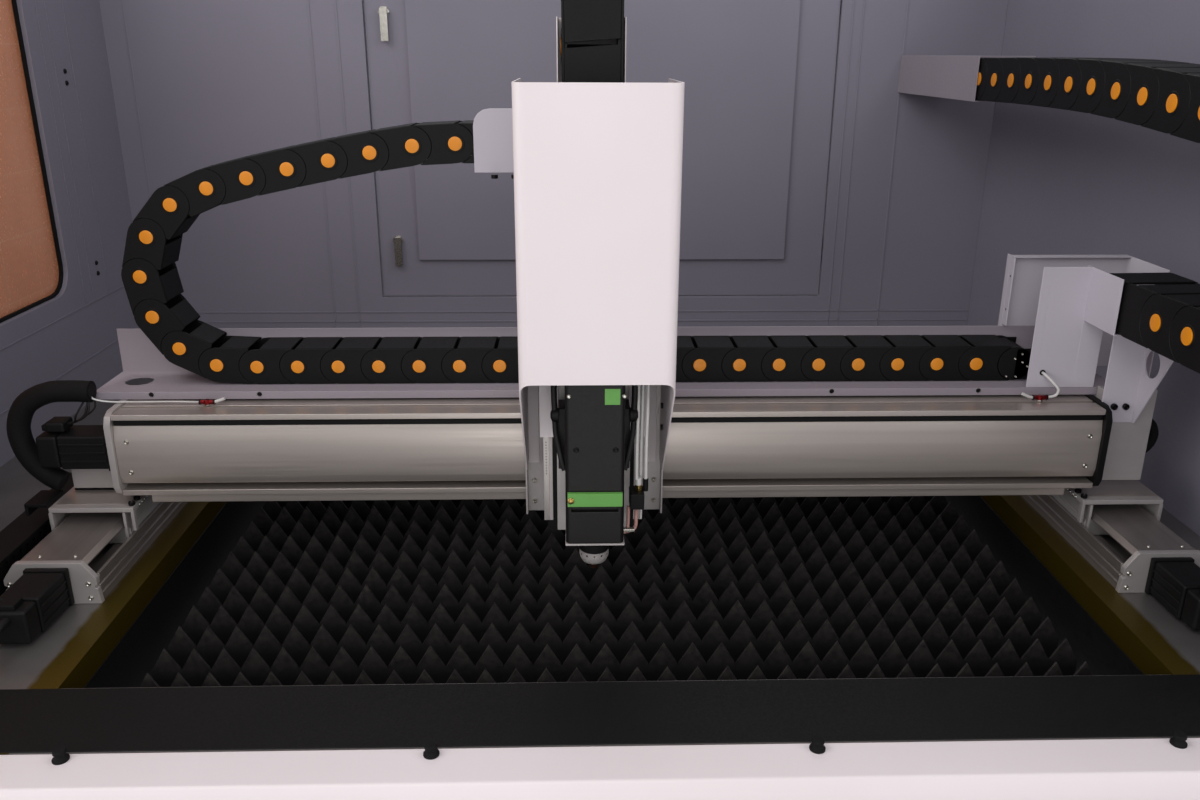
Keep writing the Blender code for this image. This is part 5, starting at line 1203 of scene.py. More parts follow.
@dataclass
class Gantry:
    """Ledge beam, X module, its motor, tray, guard, post and brackets."""

    module_front: float = -0.304
    left_end: float = -0.691
    right_end: float = 0.881
    fold_lean: float = 5.0 * MM
    motor_y: Pair = (-0.2945, -0.2345)
    motor_z: Pair = (0.987, 1.0469)
    conduit_radius: float = 17.0 * MM
    lube_x: Pair = (-0.546, 0.7825)
    lube_seat: Pair = (-0.262, 1.0846)

    def build(self) -> None:
        """Makes and dresses the pieces."""
        ease_nodes("gantry", ("gantry_beam", BRUSHED_X_LIT, "ledge_beam", 0.7),
            ("x_module", BRUSHED_X_LIT, "x_extrusion", 0.7), ("x_end_left", BLASTED, "x_end_cap_left", 0.7),
            ("x_end_right", POLYAMIDE, "x_end_cap_right", 0.7), ("end_bracket", BLASTED, "end_plate", 0.7),
            ("chain_tray", TRAY_ENAMEL_SHADED, "tray", 0.7), ("chain_guard", POST_ENAMEL, "guard", 0.7))
        self.lid()
        self.motor()
        self.conduit()
        self.screws()
        self.belt()
        self.lube_fittings()
        self.post()
        self.gusset()
        self.guard_rim()
        self.left_brackets()

    def lid(self) -> None:
        """The X module's cover plate: an upright middle between two folds that lean back."""
        low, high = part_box("x_cover")
        lean = self.fold_lean
        outline = [(low[1] + lean, high[2]), (low[1], high[2] - 22 * MM), (low[1], low[2] + 15 * MM),
            (low[1] + lean, low[2]), (high[1], low[2]), (high[1], high[2])]
        shape = Shape()
        shape.put(BRUSHED_X_LIT, bar(outline, Axis.X, low[0], high[0], 0.5 * MM))
        shape.done("x_lid", "gantry", ["x_cover"])

    def post(self) -> None:
        """The post on the tray, with its wide plate below the arm and its hole for the tube."""
        shape = Shape().node("chain_post", POST_ENAMEL, 0.6 * MM)
        shape.put(POST_ENAMEL, block((0.768, -0.2402, 1.1007), (0.7824, -0.2382, 1.299), 0.5 * MM, 1),
            block((0.844, -0.2402, 1.1007), (0.879, -0.2382, 1.212), 0.5 * MM, 1))
        at = facing((0.7911, -0.2402, 1.1262), FRONT)
        shape.put(RUBBER, turned([(2.6 * MM, 0.0), (4.6 * MM, 0.0), (4.6 * MM, 1.2 * MM),
            (2.6 * MM, 1.6 * MM)], (0, 0), at, 20, closed=True))
        shape.done("post", "gantry", ["chain_post"])

    def gusset(self) -> None:
        """The folded gusset below the arm: a bolted flange, and a web with an oval hole."""
        rear, front, low, top, sheet = -0.273, -0.352, 1.052, 1.2124, 2.0 * MM
        left, right = 0.878, 0.934
        shape = Shape()
        shape.put(POST_ENAMEL, block((left, rear - sheet, low), (right, rear, top), 0.5 * MM, 1),
            block((left, front, top - sheet), (right, rear, top), 0.5 * MM, 1))
        web = [(rear - sheet, low), (rear - sheet, top), (front, top), (front, top - 0.03), (-0.28, low)]
        oval = [(-0.301 + 0.0205 * math.cos(math.radians(a)),
            1.158 + 0.0225 * math.sin(math.radians(a))) for a in range(0, 360, 15)]
        shape.put(POST_ENAMEL, holed_plate(web, oval, Axis.X, right - sheet, right))
        shape.screws(BLACK_OXIDE, ((x, rear - sheet - 0.1 * MM, 1.08) for x in (0.8975, 0.9165)), FRONT,
            6 * MM)
        shape.done("gusset", "gantry", ["gusset_bracket"])

    def guard_rim(self) -> None:
        """The folded rim round the guard's back plate, with its small holes."""
        shape = Shape()
        back = -0.1255
        shape.put(POST_ENAMEL, block((0.7642, -0.142, 1.178), (0.7662, back, 1.2958), 0.5 * MM, 1),
            block((0.7642, -0.142, 1.294), (0.96, back, 1.296), 0.5 * MM, 1))
        for z in (1.205, 1.262):
            at = facing((0.7641, -0.134, z), (-1, 0, 0))
            shape.put(BLACK_OXIDE, rod((0, 0), 1.8 * MM, at, -0.2 * MM, 0.15 * MM, 12))
        shape.done("guard_rim", "gantry")

    def left_brackets(self) -> None:
        """Brackets at the left, a black curved tube behind the right end plate, and the motor's wires."""
        shape = Shape()
        shape.put(BLASTED, block((-0.784, -0.25, 0.9345), (-0.693, -0.245, 0.986), 0.8 * MM),
            block((-0.784, -0.25, 0.9345), (-0.639, -0.205, 0.94), 0.8 * MM))
        shape.hose(RUBBER, [(0.956, -0.24, 1.046), (0.974, -0.239, 1.044), (0.989, -0.238, 1.033),
            (0.995, -0.238, 1.015), (0.989, -0.238, 0.997), (0.974, -0.239, 0.986), (0.956, -0.24, 0.984)],
            8.0 * MM, 14)
        shape.put(POLYAMIDE, block((-0.832, -0.315, 0.9346), (-0.796, -0.26, 0.941), 1.5 * MM),
            block((-0.832, -0.315, 0.92), (-0.827, -0.26, 0.94), 1.5 * MM))
        shape.done("left_brackets", "gantry")
        wires = Shape()
        for start, middle, radius in (((-0.729, -0.262, 1.102), (-0.73, -0.272, 1.076), 1.6),
                ((-0.732, -0.256, 1.1), (-0.738, -0.266, 1.072), 1.8),
                ((-0.726, -0.252, 1.101), (-0.724, -0.262, 1.08), 1.4),
                ((-0.734, -0.262, 1.098), (-0.748, -0.272, 1.074), 1.6)):
            wires.hose(CABLE_BLACK, [start, middle, (-0.756, -0.268, 1.06), (-0.779, -0.265, 1.056)],
                radius * MM, 8, 6)
        wires.put(POLYAMIDE, block((-0.796, -0.282, 1.047), (-0.766, -0.248, 1.064), 4.0 * MM, 3),
            block((-0.804, -0.276, 1.048), (-0.796, -0.254, 1.058), 2.0 * MM))
        wires.done("motor_wires", "gantry")

    def motor(self) -> None:
        """The X servo motor with its ribs and encoder cap."""
        shape = Shape()
        (y0, y1), (z0, z1) = self.motor_y, self.motor_z
        shape.put(MOTOR_COAT, block((-0.7015, y0, z0), (-0.6913, y1, z1), 1.5 * MM))
        shape.put(MOTOR_COAT, block((-0.776, y0 + 2 * MM, z0 + 2 * MM), (-0.701, y1 - 2 * MM, z1 - 2 * MM),
            4.0 * MM, 3))
        shape.put(MOTOR_COAT, block((-0.8093, y0 + 3 * MM, z0 + 3 * MM),
            (-0.7765, y1 - 3 * MM, z1 - 3 * MM), 5.0 * MM, 3))
        for z in (1.003, 1.017, 1.031):
            shape.put(MOTOR_COAT, block((-0.774, y0 + 0.4 * MM, z - 2 * MM),
                (-0.703, y0 + 3 * MM, z + 2 * MM), 0.6 * MM, 1))
        shape.done("x_servo", "gantry", ["x_motor"])

    def conduit(self) -> None:
        """The smooth black conduit from the tray's end to the X motor, with its plug."""
        line = [(-0.7245, -0.259, 1.108), (-0.759, -0.259, 1.109), (-0.793, -0.259, 1.1065),
            (-0.829, -0.259, 1.088), (-0.847, -0.2595, 1.054), (-0.846, -0.26, 1.02),
            (-0.833, -0.261, 0.99), (-0.812, -0.262, 0.968), (-0.792, -0.263, 0.956)]
        shape = Shape().hose(RUBBER, line, self.conduit_radius, 20, 6)
        shape.put(POLYAMIDE, rod((-0.259, 1.108), 12.5 * MM, Axis.X, -0.725, -0.7238, 20))
        shape.done("conduit", "gantry", ["motor_conduit"])

    def screws(self) -> None:
        """Screws of the end caps, brackets and tray."""
        shape = Shape()
        for x, way in ((self.left_end, -1), (self.right_end, 1)):
            for z in (0.989, 1.04):
                shape.screw(ZINC, (x - way * 29 * MM, self.module_front - 0.1 * MM, z), FRONT, 4 * MM,
                    Screw.BUTTON)
        tray, ledge = (-0.641, -0.47, 0.45, 0.69), (-0.64, -0.61, 0.8, 0.83, 0.15, -0.15)
        shape.screws(BLACK_OXIDE, ((x, -0.2402, 1.096) for x in tray), FRONT, 4 * MM, Screw.BUTTON)
        shape.screws(ZINC, ((x, -0.21, 0.9492) for x in ledge), UP, 4 * MM)
        shape.done("gantry_screws", "gantry")

    def belt(self) -> None:
        """The black strip that closes the slot over the X module's carriage."""
        shape = Shape()
        shape.put(POLYAMIDE, block((-0.678, -0.303, 1.0664), (0.868, -0.296, 1.0744), 0.8 * MM, 1))
        shape.done("slot_strip", "gantry")

    def lube_fittings(self) -> None:
        """Red lube nipples with their milky tubes, one at each end of the tray's lip."""
        shape = Shape()
        y, z = self.lube_seat
        for x in self.lube_x:
            at = Matrix.Translation((x, y, z))
            shape.put(ZINC, rod((0, 0), 4.5 * MM, at, 0.0, 3.0 * MM, 6))
            shape.put(RED_ANODISED, turned([(0.0, 3.0 * MM), (4.8 * MM, 3.0 * MM), (4.8 * MM, 9.0 * MM),
                (3.4 * MM, 10.5 * MM), (0.0, 10.5 * MM)], (0, 0), at, 20))
            for way in (-1, 1):
                cross = Matrix.Translation((x, y, z + 6.2 * MM))
                cross = cross @ Matrix.Rotation(math.radians(90 * way), 4, "Y")
                shape.put(RED_ANODISED, rod((0, 0), 3.6 * MM, cross, 0.0, 10.0 * MM, 16, 0.5 * MM))
                shape.put(BLACK_OXIDE, rod((0, 0), 4.1 * MM, cross, 10.0 * MM, 12.5 * MM, 16, 0.5 * MM))
        shape.hose(CLEAR_TUBE, [(0.7911, -0.238, 1.1262), (0.7935, -0.248, 1.124), (0.802, -0.26, 1.115),
            (0.8095, -0.264, 1.105), (0.807, -0.263, 1.095), (0.7935, -0.262, 1.0908)], 2.4 * MM, 10)
        shape.hose(CLEAR_TUBE, [(0.772, -0.262, 1.0908), (0.763, -0.262, 1.093), (0.753, -0.262, 1.0975)],
            2.6 * MM, 10)
        shape.hose(CLEAR_TUBE, [(-0.5355, -0.262, 1.0908), (-0.528, -0.262, 1.093),
            (-0.518, -0.262, 1.0965)], 2.6 * MM, 10)
        shape.hose(CLEAR_TUBE, [(-0.557, -0.262, 1.0908), (-0.6, -0.257, 1.09), (-0.66, -0.256, 1.0895),
            (-0.7, -0.259, 1.091), (-0.72, -0.262, 1.096), (-0.726, -0.262, 1.101)], 1.5 * MM, 8)
        shape.done("lube_fittings", "gantry")


# Cable chains


def along(start: Pair, heading: float, pitch: float, links: int) -> list[Pair]:
    """Pins of a straight run.

    Args:
        start: its first pin, in the chain's plane.
        heading: its direction in degrees.
        pitch: from pin to pin.
        links: number of links.

    Returns:
        The pins, one more than there are links.
    """
    step = (pitch * math.cos(math.radians(heading)), pitch * math.sin(math.radians(heading)))
    return [(start[0] + k * step[0], start[1] + k * step[1]) for k in range(links + 1)]


@dataclass
class ChainRun:
    """A stretch of enclosed cable chain: links with round eyes, lids and orange caps.

    The pins lie in the plane square to the width; every link's round eye is at its second pin. The opening
    is the angle in degrees that each side plate's hollow end leaves free above and below.
    """

    name: str
    pins: list[Pair]
    width_axis: Axis
    near: float
    far: float
    height: float
    replaced: str
    turn_in: float = 0.0
    turn_out: float = 0.0
    plate: float = 3.2 * MM
    gap: float = 0.5 * MM
    opening: float = 13.0
    cap_radius: float = 10.5 * MM
    bare_links: int = 0

    def spot(self, pin: Pair, along_width: float) -> Point:
        """A place in metres from a pin and a place along the width."""
        if self.width_axis is Axis.Y:
            return pin[0], along_width, pin[1]
        return along_width, pin[0], pin[1]

    def link_place(self, start: Pair, end: Pair) -> Matrix:
        """The placing of a link: X along it, Y across it in the chain's plane, Z to the far side."""
        length = math.dist(start, end)
        ahead = self.spot(((end[0] - start[0]) / length, (end[1] - start[1]) / length), 0.0)
        width = self.spot((0.0, 0.0), math.copysign(1.0, self.far - self.near))
        up = self.spot((-(end[1] - start[1]) / length, (end[0] - start[0]) / length), 0.0)
        made = Matrix((ahead, up, width)).transposed().to_4x4()
        made.translation = self.spot(start, self.near)
        return made

    def build(self, body: str) -> bpy.types.Object:
        """Makes the run.

        Args:
            body: the body it rides on, or nothing.

        Returns:
            The piece.
        """
        shape = Shape()
        turns = [self.turn_in]
        for before, here, after in zip(self.pins, self.pins[1:], self.pins[2:]):
            first = math.atan2(here[1] - before[1], here[0] - before[0])
            second = math.atan2(after[1] - here[1], after[0] - here[0])
            turns.append(math.degrees((second - first + math.pi) % (2 * math.pi) - math.pi))
        turns.append(self.turn_out)
        for index, (start, end) in enumerate(zip(self.pins, self.pins[1:])):
            self.link(shape, self.link_place(start, end), math.dist(start, end), turns[index],
                turns[index + 1])
            if index < len(self.pins) - 1 - self.bare_links:
                self.eye_dress(shape, self.link_place(start, end) @ Matrix.Translation((math.dist(start,
                    end), 0, 0)))
        return shape.done(self.name, body, [self.replaced])

    def link(self, shape: Shape, place: Matrix, length: float, turn: float, next_turn: float) -> None:
        """Adds one link.

        Args:
            shape: the run.
            place: the link's placing.
            length: from pin to pin.
            turn: degrees it turns at its first pin, positive towards its top.
            next_turn: degrees the next link turns.
        """
        eye = self.height / 2
        width = abs(self.far - self.near)
        top_cut = self.opening + max(turn, 0.0)
        low_cut = self.opening + max(-turn, 0.0)
        outline = self.plate_outline(length, eye, top_cut, low_cut)
        for start in (0.0, width - self.plate):
            shape.put(POLYAMIDE, bar(outline, place, start, start + self.plate, 0.7 * MM, 1))
        for start in (self.plate + 0.4 * MM, width - 2 * self.plate - 0.4 * MM):
            shape.put(POLYAMIDE, rod((0, 0), eye - 1.2 * MM, place, start, start + self.plate, 24))
        reach = eye + self.gap
        for sign, cut, ahead in ((1, top_cut, next_turn), (-1, low_cut, -next_turn)):
            begin = reach * math.sin(math.radians(cut)) + 2.5 * MM
            finish = length + (3.0 * MM if ahead <= 1.0 else -5.0 * MM)
            slant = 5.0 * MM if sign > 0 else 0.0
            lid_place = place @ Matrix(((1, 0, 0, 0), (0, 0, 1, 0), (0, 1, 0, 0), (0, 0, 0, 1)))
            lid = [(begin - slant, self.plate + 0.3 * MM), (finish - slant, self.plate + 0.3 * MM),
                (finish, width - self.plate - 0.3 * MM), (begin, width - self.plate - 0.3 * MM)]
            low, high = sorted((sign * (eye - 3.0 * MM), sign * (eye + 0.6 * MM)))
            shape.put(POLYAMIDE, bar(lid, lid_place, low, high, 0.6 * MM, 1))

    def plate_outline(self, length: float, eye: float, top_cut: float, low_cut: float) -> list[Pair]:
        """A side plate: a round end, and a hollow end that fits the eye of the link before."""
        steps = 12
        reach = eye + self.gap
        low, high = low_cut - 90, 90 - top_cut
        hollow = arc((0.0, 0.0), reach, low, high, steps)
        return [*arc((length, 0.0), eye, 90, -90, steps), (hollow[0][0] + 1.5 * MM, -eye), *hollow,
            (hollow[-1][0] + 1.5 * MM, eye)]

    def eye_dress(self, shape: Shape, place: Matrix) -> None:
        """Adds the ring and the orange cap on a link's eye."""
        ring = [(self.cap_radius + 1.0 * MM, 0.3 * MM), (self.cap_radius + 1.0 * MM, -0.6 * MM),
            (self.cap_radius + 3.4 * MM, -0.6 * MM), (self.cap_radius + 4.2 * MM, 0.3 * MM)]
        shape.put(POLYAMIDE, turned(ring, (0, 0), place, 24, closed=True))
        cap = [(0.0, 0.4 * MM), (self.cap_radius, 0.4 * MM), (self.cap_radius, -1.2 * MM),
            (self.cap_radius - 0.9 * MM, -1.8 * MM), (0.0, -1.9 * MM)]
        shape.put(CAP_PLASTIC, turned(cap, (0, 0), place, 24))


@dataclass
class CableChains:
    """The X, Y and Z chains, and the piece that holds the X chain's fixed end.

    The pins of the X and Y chains lie where their caps are seen.
    """

    x_level: float = 1.1307
    x_pitch: float = 65.3 * MM
    y_pitch: float = 75.7 * MM
    z_pitch: float = 66.0 * MM
    z_turn_level: float = 1.686
    x_size: ClassVar[dict] = {"width_axis": Axis.Y, "near": -0.206, "far": -0.131, "height": 58 * MM}
    y_size: ClassVar[dict] = {"width_axis": Axis.X, "near": 0.8495, "far": 0.9545, "height": 80 * MM,
        "cap_radius": 12.5 * MM}
    z_size: ClassVar[dict] = {"width_axis": Axis.X, "near": 0.0195, "far": 0.0945, "height": 58 * MM}

    def build(self) -> None:
        """Makes the three chains."""
        self.x_chain()
        self.y_chain()
        self.z_chain()
        self.x_end()

    def run(self, names: tuple[str, str], pins: list[Pair],
            turns: Pair, size: dict, bare_links: int = 0) -> None:
        """Makes a straight run between its fixed end and its bend; it is baked in place and rides on no
        body.

        Args:
            names: the piece and the CAD node it stands for.
            pins: its pins.
            turns: degrees between it and its neighbours, at its first and last pin.
            size: the chain's width and height.
            bare_links: links without caps, at its last end.
        """
        made = ChainRun(names[0], pins, replaced=names[1], turn_in=turns[0], turn_out=turns[1],
            bare_links=bare_links, **size)
        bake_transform(made.build(""))

    def bend(self, letter: str, loop: list[Pair], ends: tuple[str, str], split: int, turns: Point,
            size: dict) -> None:
        """Makes a chain's bend in two halves, one for each body that it travels with.

        Args:
            letter: the chain's letter.
            loop: pins of the whole bend.
            ends: the word for its first half and for its second.
            split: the pin where the halves meet.
            turns: degrees at its first pin, at the split and at its last pin.
            size: the chain's width and height.
        """
        for word, pins, turn_in, turn_out in ((ends[0], loop[:split + 1], turns[0], turns[1]),
                (ends[1], loop[split:], turns[1], turns[2])):
            ChainRun(f"{letter}_loop_{word}", pins, replaced=f"{letter}_chain_bend_{word}", turn_in=turn_in,
                turn_out=turn_out, **size).build(f"{letter}_bend_{word}")

    def x_chain(self) -> None:
        """The chain in the tray, with its loop at the left."""
        low_line = along((0.7605, self.x_level), 180.0, self.x_pitch, 19)
        loop = [low_line[-1], (-0.5445, 1.1339), (-0.6005, 1.1622), (-0.6358, 1.2143), (-0.6459, 1.2792),
            (-0.6272, 1.3414), (-0.5841, 1.3908), (-0.526, 1.4157)]
        high_line = [loop[-1], (-0.4639, 1.431), (-0.4015, 1.4445), (-0.3381, 1.4572), (-0.2749, 1.4689),
            (-0.2102, 1.479), (-0.1453, 1.4824), (-0.0795, 1.483)]
        self.run(("x_run_low", "x_chain_lower"), low_line, (0.0, -12.0),
            self.x_size)
        self.run(("x_run_high", "x_chain_upper"), high_line,
            (-12.0, 0.0), self.x_size)
        self.bend("x", loop, ("low", "high"), 3, (-12.0, -24.6, -12.0), self.x_size)

    def y_chain(self) -> None:
        """The chain along the right wall: its loop is at the front, and its upper run sags towards it."""
        low_line = [(-0.5753, 1.26), (-0.4997, 1.2589), (-0.424, 1.2575), (-0.3483, 1.256),
            (-0.2726, 1.256)]
        high_line = [(0.477, 1.5655), (0.4005, 1.5655), (0.324, 1.5657), (0.2475, 1.566), (0.1694, 1.5668),
            (0.093, 1.5672), (0.016, 1.567), (-0.0605, 1.5664), (-0.1367, 1.565), (-0.213, 1.5615),
            (-0.2892, 1.5566), (-0.3656, 1.5505), (-0.442, 1.544), (-0.5178, 1.5365)]
        loop = [high_line[-1]]
        for heading in (180.6, 211.7, 242.7, 273.8, 304.8):
            loop.append(along(loop[-1], heading, self.y_pitch, 1)[-1])
        loop.append(low_line[0])
        self.run(("y_run_low", "y_chain_lower"), low_line, (12.0, 0.0),
            self.y_size, 2)
        self.run(("y_run_high", "y_chain_upper"), high_line, (0.0, 12.0),
            self.y_size)
        self.bend("y", loop, ("high", "low"), 3, (12.0, 25.7, 12.0), self.y_size)

    def z_chain(self) -> None:
        """The chain over the head."""
        front, middle, back = -0.4605, -0.3855, -0.3105
        loop = arc((middle, self.z_turn_level), back - middle, 180.0, 0.0, 4)
        front_line = along((front, self.z_turn_level), -90.0, self.z_pitch, 5)[::-1]
        back_line = along((back, self.z_turn_level), -90.0, self.z_pitch, 3)
        self.run(("z_run_front", "z_chain_front"), front_line, (0.0, -22.0),
            self.z_size)
        self.run(("z_run_back", "z_chain_back"), back_line,
            (-22.0, 0.0), self.z_size)
        self.bend("z", loop, ("front", "back"), 2, (-22.0, -45.0, -22.0), self.z_size)

    def x_end(self) -> None:
        """The X chain's fixed end: a bolted strain-relief comb, and cables that leave it."""
        shape = Shape()
        for y in (-0.206, -0.1342):
            shape.put(POLYAMIDE, rod((0.7605, 1.1307), 28.2 * MM, Axis.Y, y, y + 3.2 * MM, 32, 0.6 * MM),
                block((0.7605, y, 1.1035), (0.79, y + 3.2 * MM, 1.156), 0.8 * MM))
        for z in (1.106, 1.155):
            shape.put(POLYAMIDE, block((0.748, -0.2035, z - 2.0 * MM), (0.768, -0.1335, z + 2.0 * MM),
                1.0 * MM))
        for x in (0.77, 0.78):
            for z in (1.108, 1.148):
                shape.put(POLYAMIDE, block((x - 2 * MM, -0.202, z - 2.5 * MM),
                    (x + 2 * MM, -0.131, z + 2.5 * MM), 0.8 * MM))
        spots = ((0.748, 1.109), (0.764, 1.1085), (0.77, 1.147), (0.759, 1.139), (0.772, 1.133),
            (0.781, 1.126))
        shape.screws(ZINC, ((x, -0.2061, z) for x, z in spots), FRONT, 2 * MM, Screw.BUTTON)
        shape.done("x_chain_end", "gantry")
        wires = Shape()
        for finish, y, z, drop in ((CABLE_YELLOW, -0.192, 1.14, 0.01), (CABLE_BLUE, -0.187, 1.133, 0.004),
                (CABLE_BLACK, -0.17, 1.13, 0.0), (CABLE_BLACK, -0.15, 1.136, 0.006),
                (CABLE_BLACK, -0.178, 1.118, -0.002), (CABLE_GREY, -0.148, 1.12, 0.002)):
            wires.hose(finish, [(0.77, y, z - 0.002), (0.8, y, z), (0.826, y - 0.004, z + drop),
                (0.85, y - 0.01, z + drop + 0.012), (0.875, y - 0.006, z + 0.06), (0.89, y - 0.01, 1.217)],
                3.2 * MM, 8, 6)
        wires.done("x_chain_cables", "gantry")


# Carriage and head


@dataclass
class XCarriage:
    """The saddle, the head's folded cover, the Z module and the bracket of the X chain."""

    middle: float = 0.06
    fold: float = 13.0 * MM
    sheet: float = 2.0 * MM
    front_low: float = 1.206
    wing_low: float = 1.02

    def build(self) -> None:
        """Makes and dresses the pieces."""
        ease_nodes("carriage", ("x_carriage", BLASTED, "saddle", 0.8),
            ("z_module", BRUSHED_Z_SHADED, "z_extrusion", 0.7), ("z_motor", MOTOR_COAT, "z_servo", 2.0),
            ("chain_bracket", POST_ENAMEL, "chain_arm", 0.7))
        self.cover()
        self.screws()
        self.side_blocks()

    def cover(self) -> None:
        """The folded cover: round vertical folds, and a wing at each side with a slanting front edge."""
        low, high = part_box("head_cover")
        fold, sheet, wing_low = self.fold, self.sheet, self.wing_low
        wing = [(high[1], wing_low), (-0.36, wing_low), (-0.379, wing_low), (-0.385, 1.0245),
            (-0.43, 1.0778), (-0.48, 1.137), (-0.515, 1.1784)]
        bend = [(0.0, 1.187), (18.0, 1.1932), (36.0, 1.1982), (54.0, 1.202), (72.0, 1.2045), (90.0, 1.2057)]
        half: list[tuple[float, float, float, float, float]] = []
        for place, level in wing:
            half.append((low[0], place, low[0] + sheet, place, level))
        for angle, level in bend:
            across, ahead = math.cos(math.radians(angle)), math.sin(math.radians(angle))
            centre = (low[0] + fold, low[1] + fold)
            half.append((centre[0] - fold * across, centre[1] - fold * ahead,
                centre[0] - (fold - sheet) * across, centre[1] - (fold - sheet) * ahead, level))
        half.append((low[0] + fold + 6 * MM, low[1], low[0] + fold + 6 * MM, low[1] + sheet,
            self.front_low))
        middle = low[0] + high[0]
        path = half + [(middle - a, b, middle - c, d, level) for a, b, c, d, level in reversed(half)]
        part = bmesh.new()
        rows = [[part.verts.new(v) for v in ((a, b, high[2]), (c, d, high[2]), (c, d, level),
            (a, b, level))] for a, b, c, d, level in path]
        part.faces.new(rows[0])
        part.faces.new(rows[-1])
        for before, after in zip(rows, rows[1:]):
            for k in range(4):
                part.faces.new((before[k], before[(k + 1) % 4], after[(k + 1) % 4], after[k]))
        bmesh.ops.recalc_face_normals(part, faces=part.faces[:])
        Shape().put(WHITE_ENAMEL, part).done("cover", "carriage", ["head_cover"])

    def screws(self) -> None:
        """Screws of the cover's wings, the saddle and the chain's bracket."""
        shape = Shape()
        for z in (1.535, 1.121, 1.087):
            for x, way, kind in ((0.1659, 1, Screw.BUTTON), (0.1635, -1, Screw.HEX),
                    (-0.0399, -1, Screw.BUTTON)):
                shape.screw(BLACK_OXIDE, (x, -0.376, z), (way, 0, 0), 5 * MM, kind)
        shape.put(BLACK_OXIDE, block((0.1658, -0.384, 1.085), (0.172, -0.364, 1.097), 1.5 * MM))
        shape.screws(BLACK_OXIDE, ((x, -0.235, 1.4399) for x in (-0.085, -0.055)), DOWN, 6 * MM)
        shape.screws(ZINC, ((x, -0.3342, z) for x in (-0.03, 0.156) for z in (0.95, 0.985)), FRONT, 4 * MM)
        shape.done("carriage_screws", "carriage")

    def side_blocks(self) -> None:
        """The Z module's black stop plate at its lower end and its pale sensor strip."""
        shape = Shape()
        for way in (-1, 1):
            side_plate = [(self.middle + way * a, b) for a, b in ((0.0676, 0.9548), (0.0676, 0.9444),
                (0.0503, 0.9308), (0.0503, 0.9548))]
            shape.put(MOTOR_COAT, bar(side_plate, Axis.Y, -0.413, -0.342, 0.8 * MM))
        shape.put(MOTOR_COAT, bar([(-0.0076, 0.9548), (-0.0076, 0.9444), (0.0164, 0.9255), (0.1036, 0.9255),
            (0.1276, 0.9444), (0.1276, 0.9548)], Axis.Y, -0.359, -0.342, 1.0 * MM))
        for sign in (-1, 1):
            middle = self.middle
            spots = [(-0.0727, -0.0646, BRUSHED_Z_SHADED), (-0.0646, -0.0595, BLASTED),
                (-0.0595, -0.0534, POLYAMIDE)]
            for near, far, finish in spots:
                x0, x1 = sorted((middle + sign * -near, middle + sign * -far))
                shape.put(finish, block((x0, -0.415 if finish is not POLYAMIDE else -0.4136, 0.9549),
                    (x1, -0.4125, 1.399), 0.3 * MM, 1))
            x0, x1 = sorted((middle + sign * 0.0815, middle + sign * 0.0975))
            shape.put(WHITE_ENAMEL, block((x0, -0.3375, 1.015), (x1, -0.3345, 1.55), 0.4 * MM, 1))
        for step in range(12):
            shape.put(BLACK_OXIDE, rod((-0.0087, 1.03 + step * 4.5 * MM), 0.9 * MM, Axis.Y, -0.4153,
                -0.4148, 8))
        shape.done("z_stop_and_sensors", "carriage")


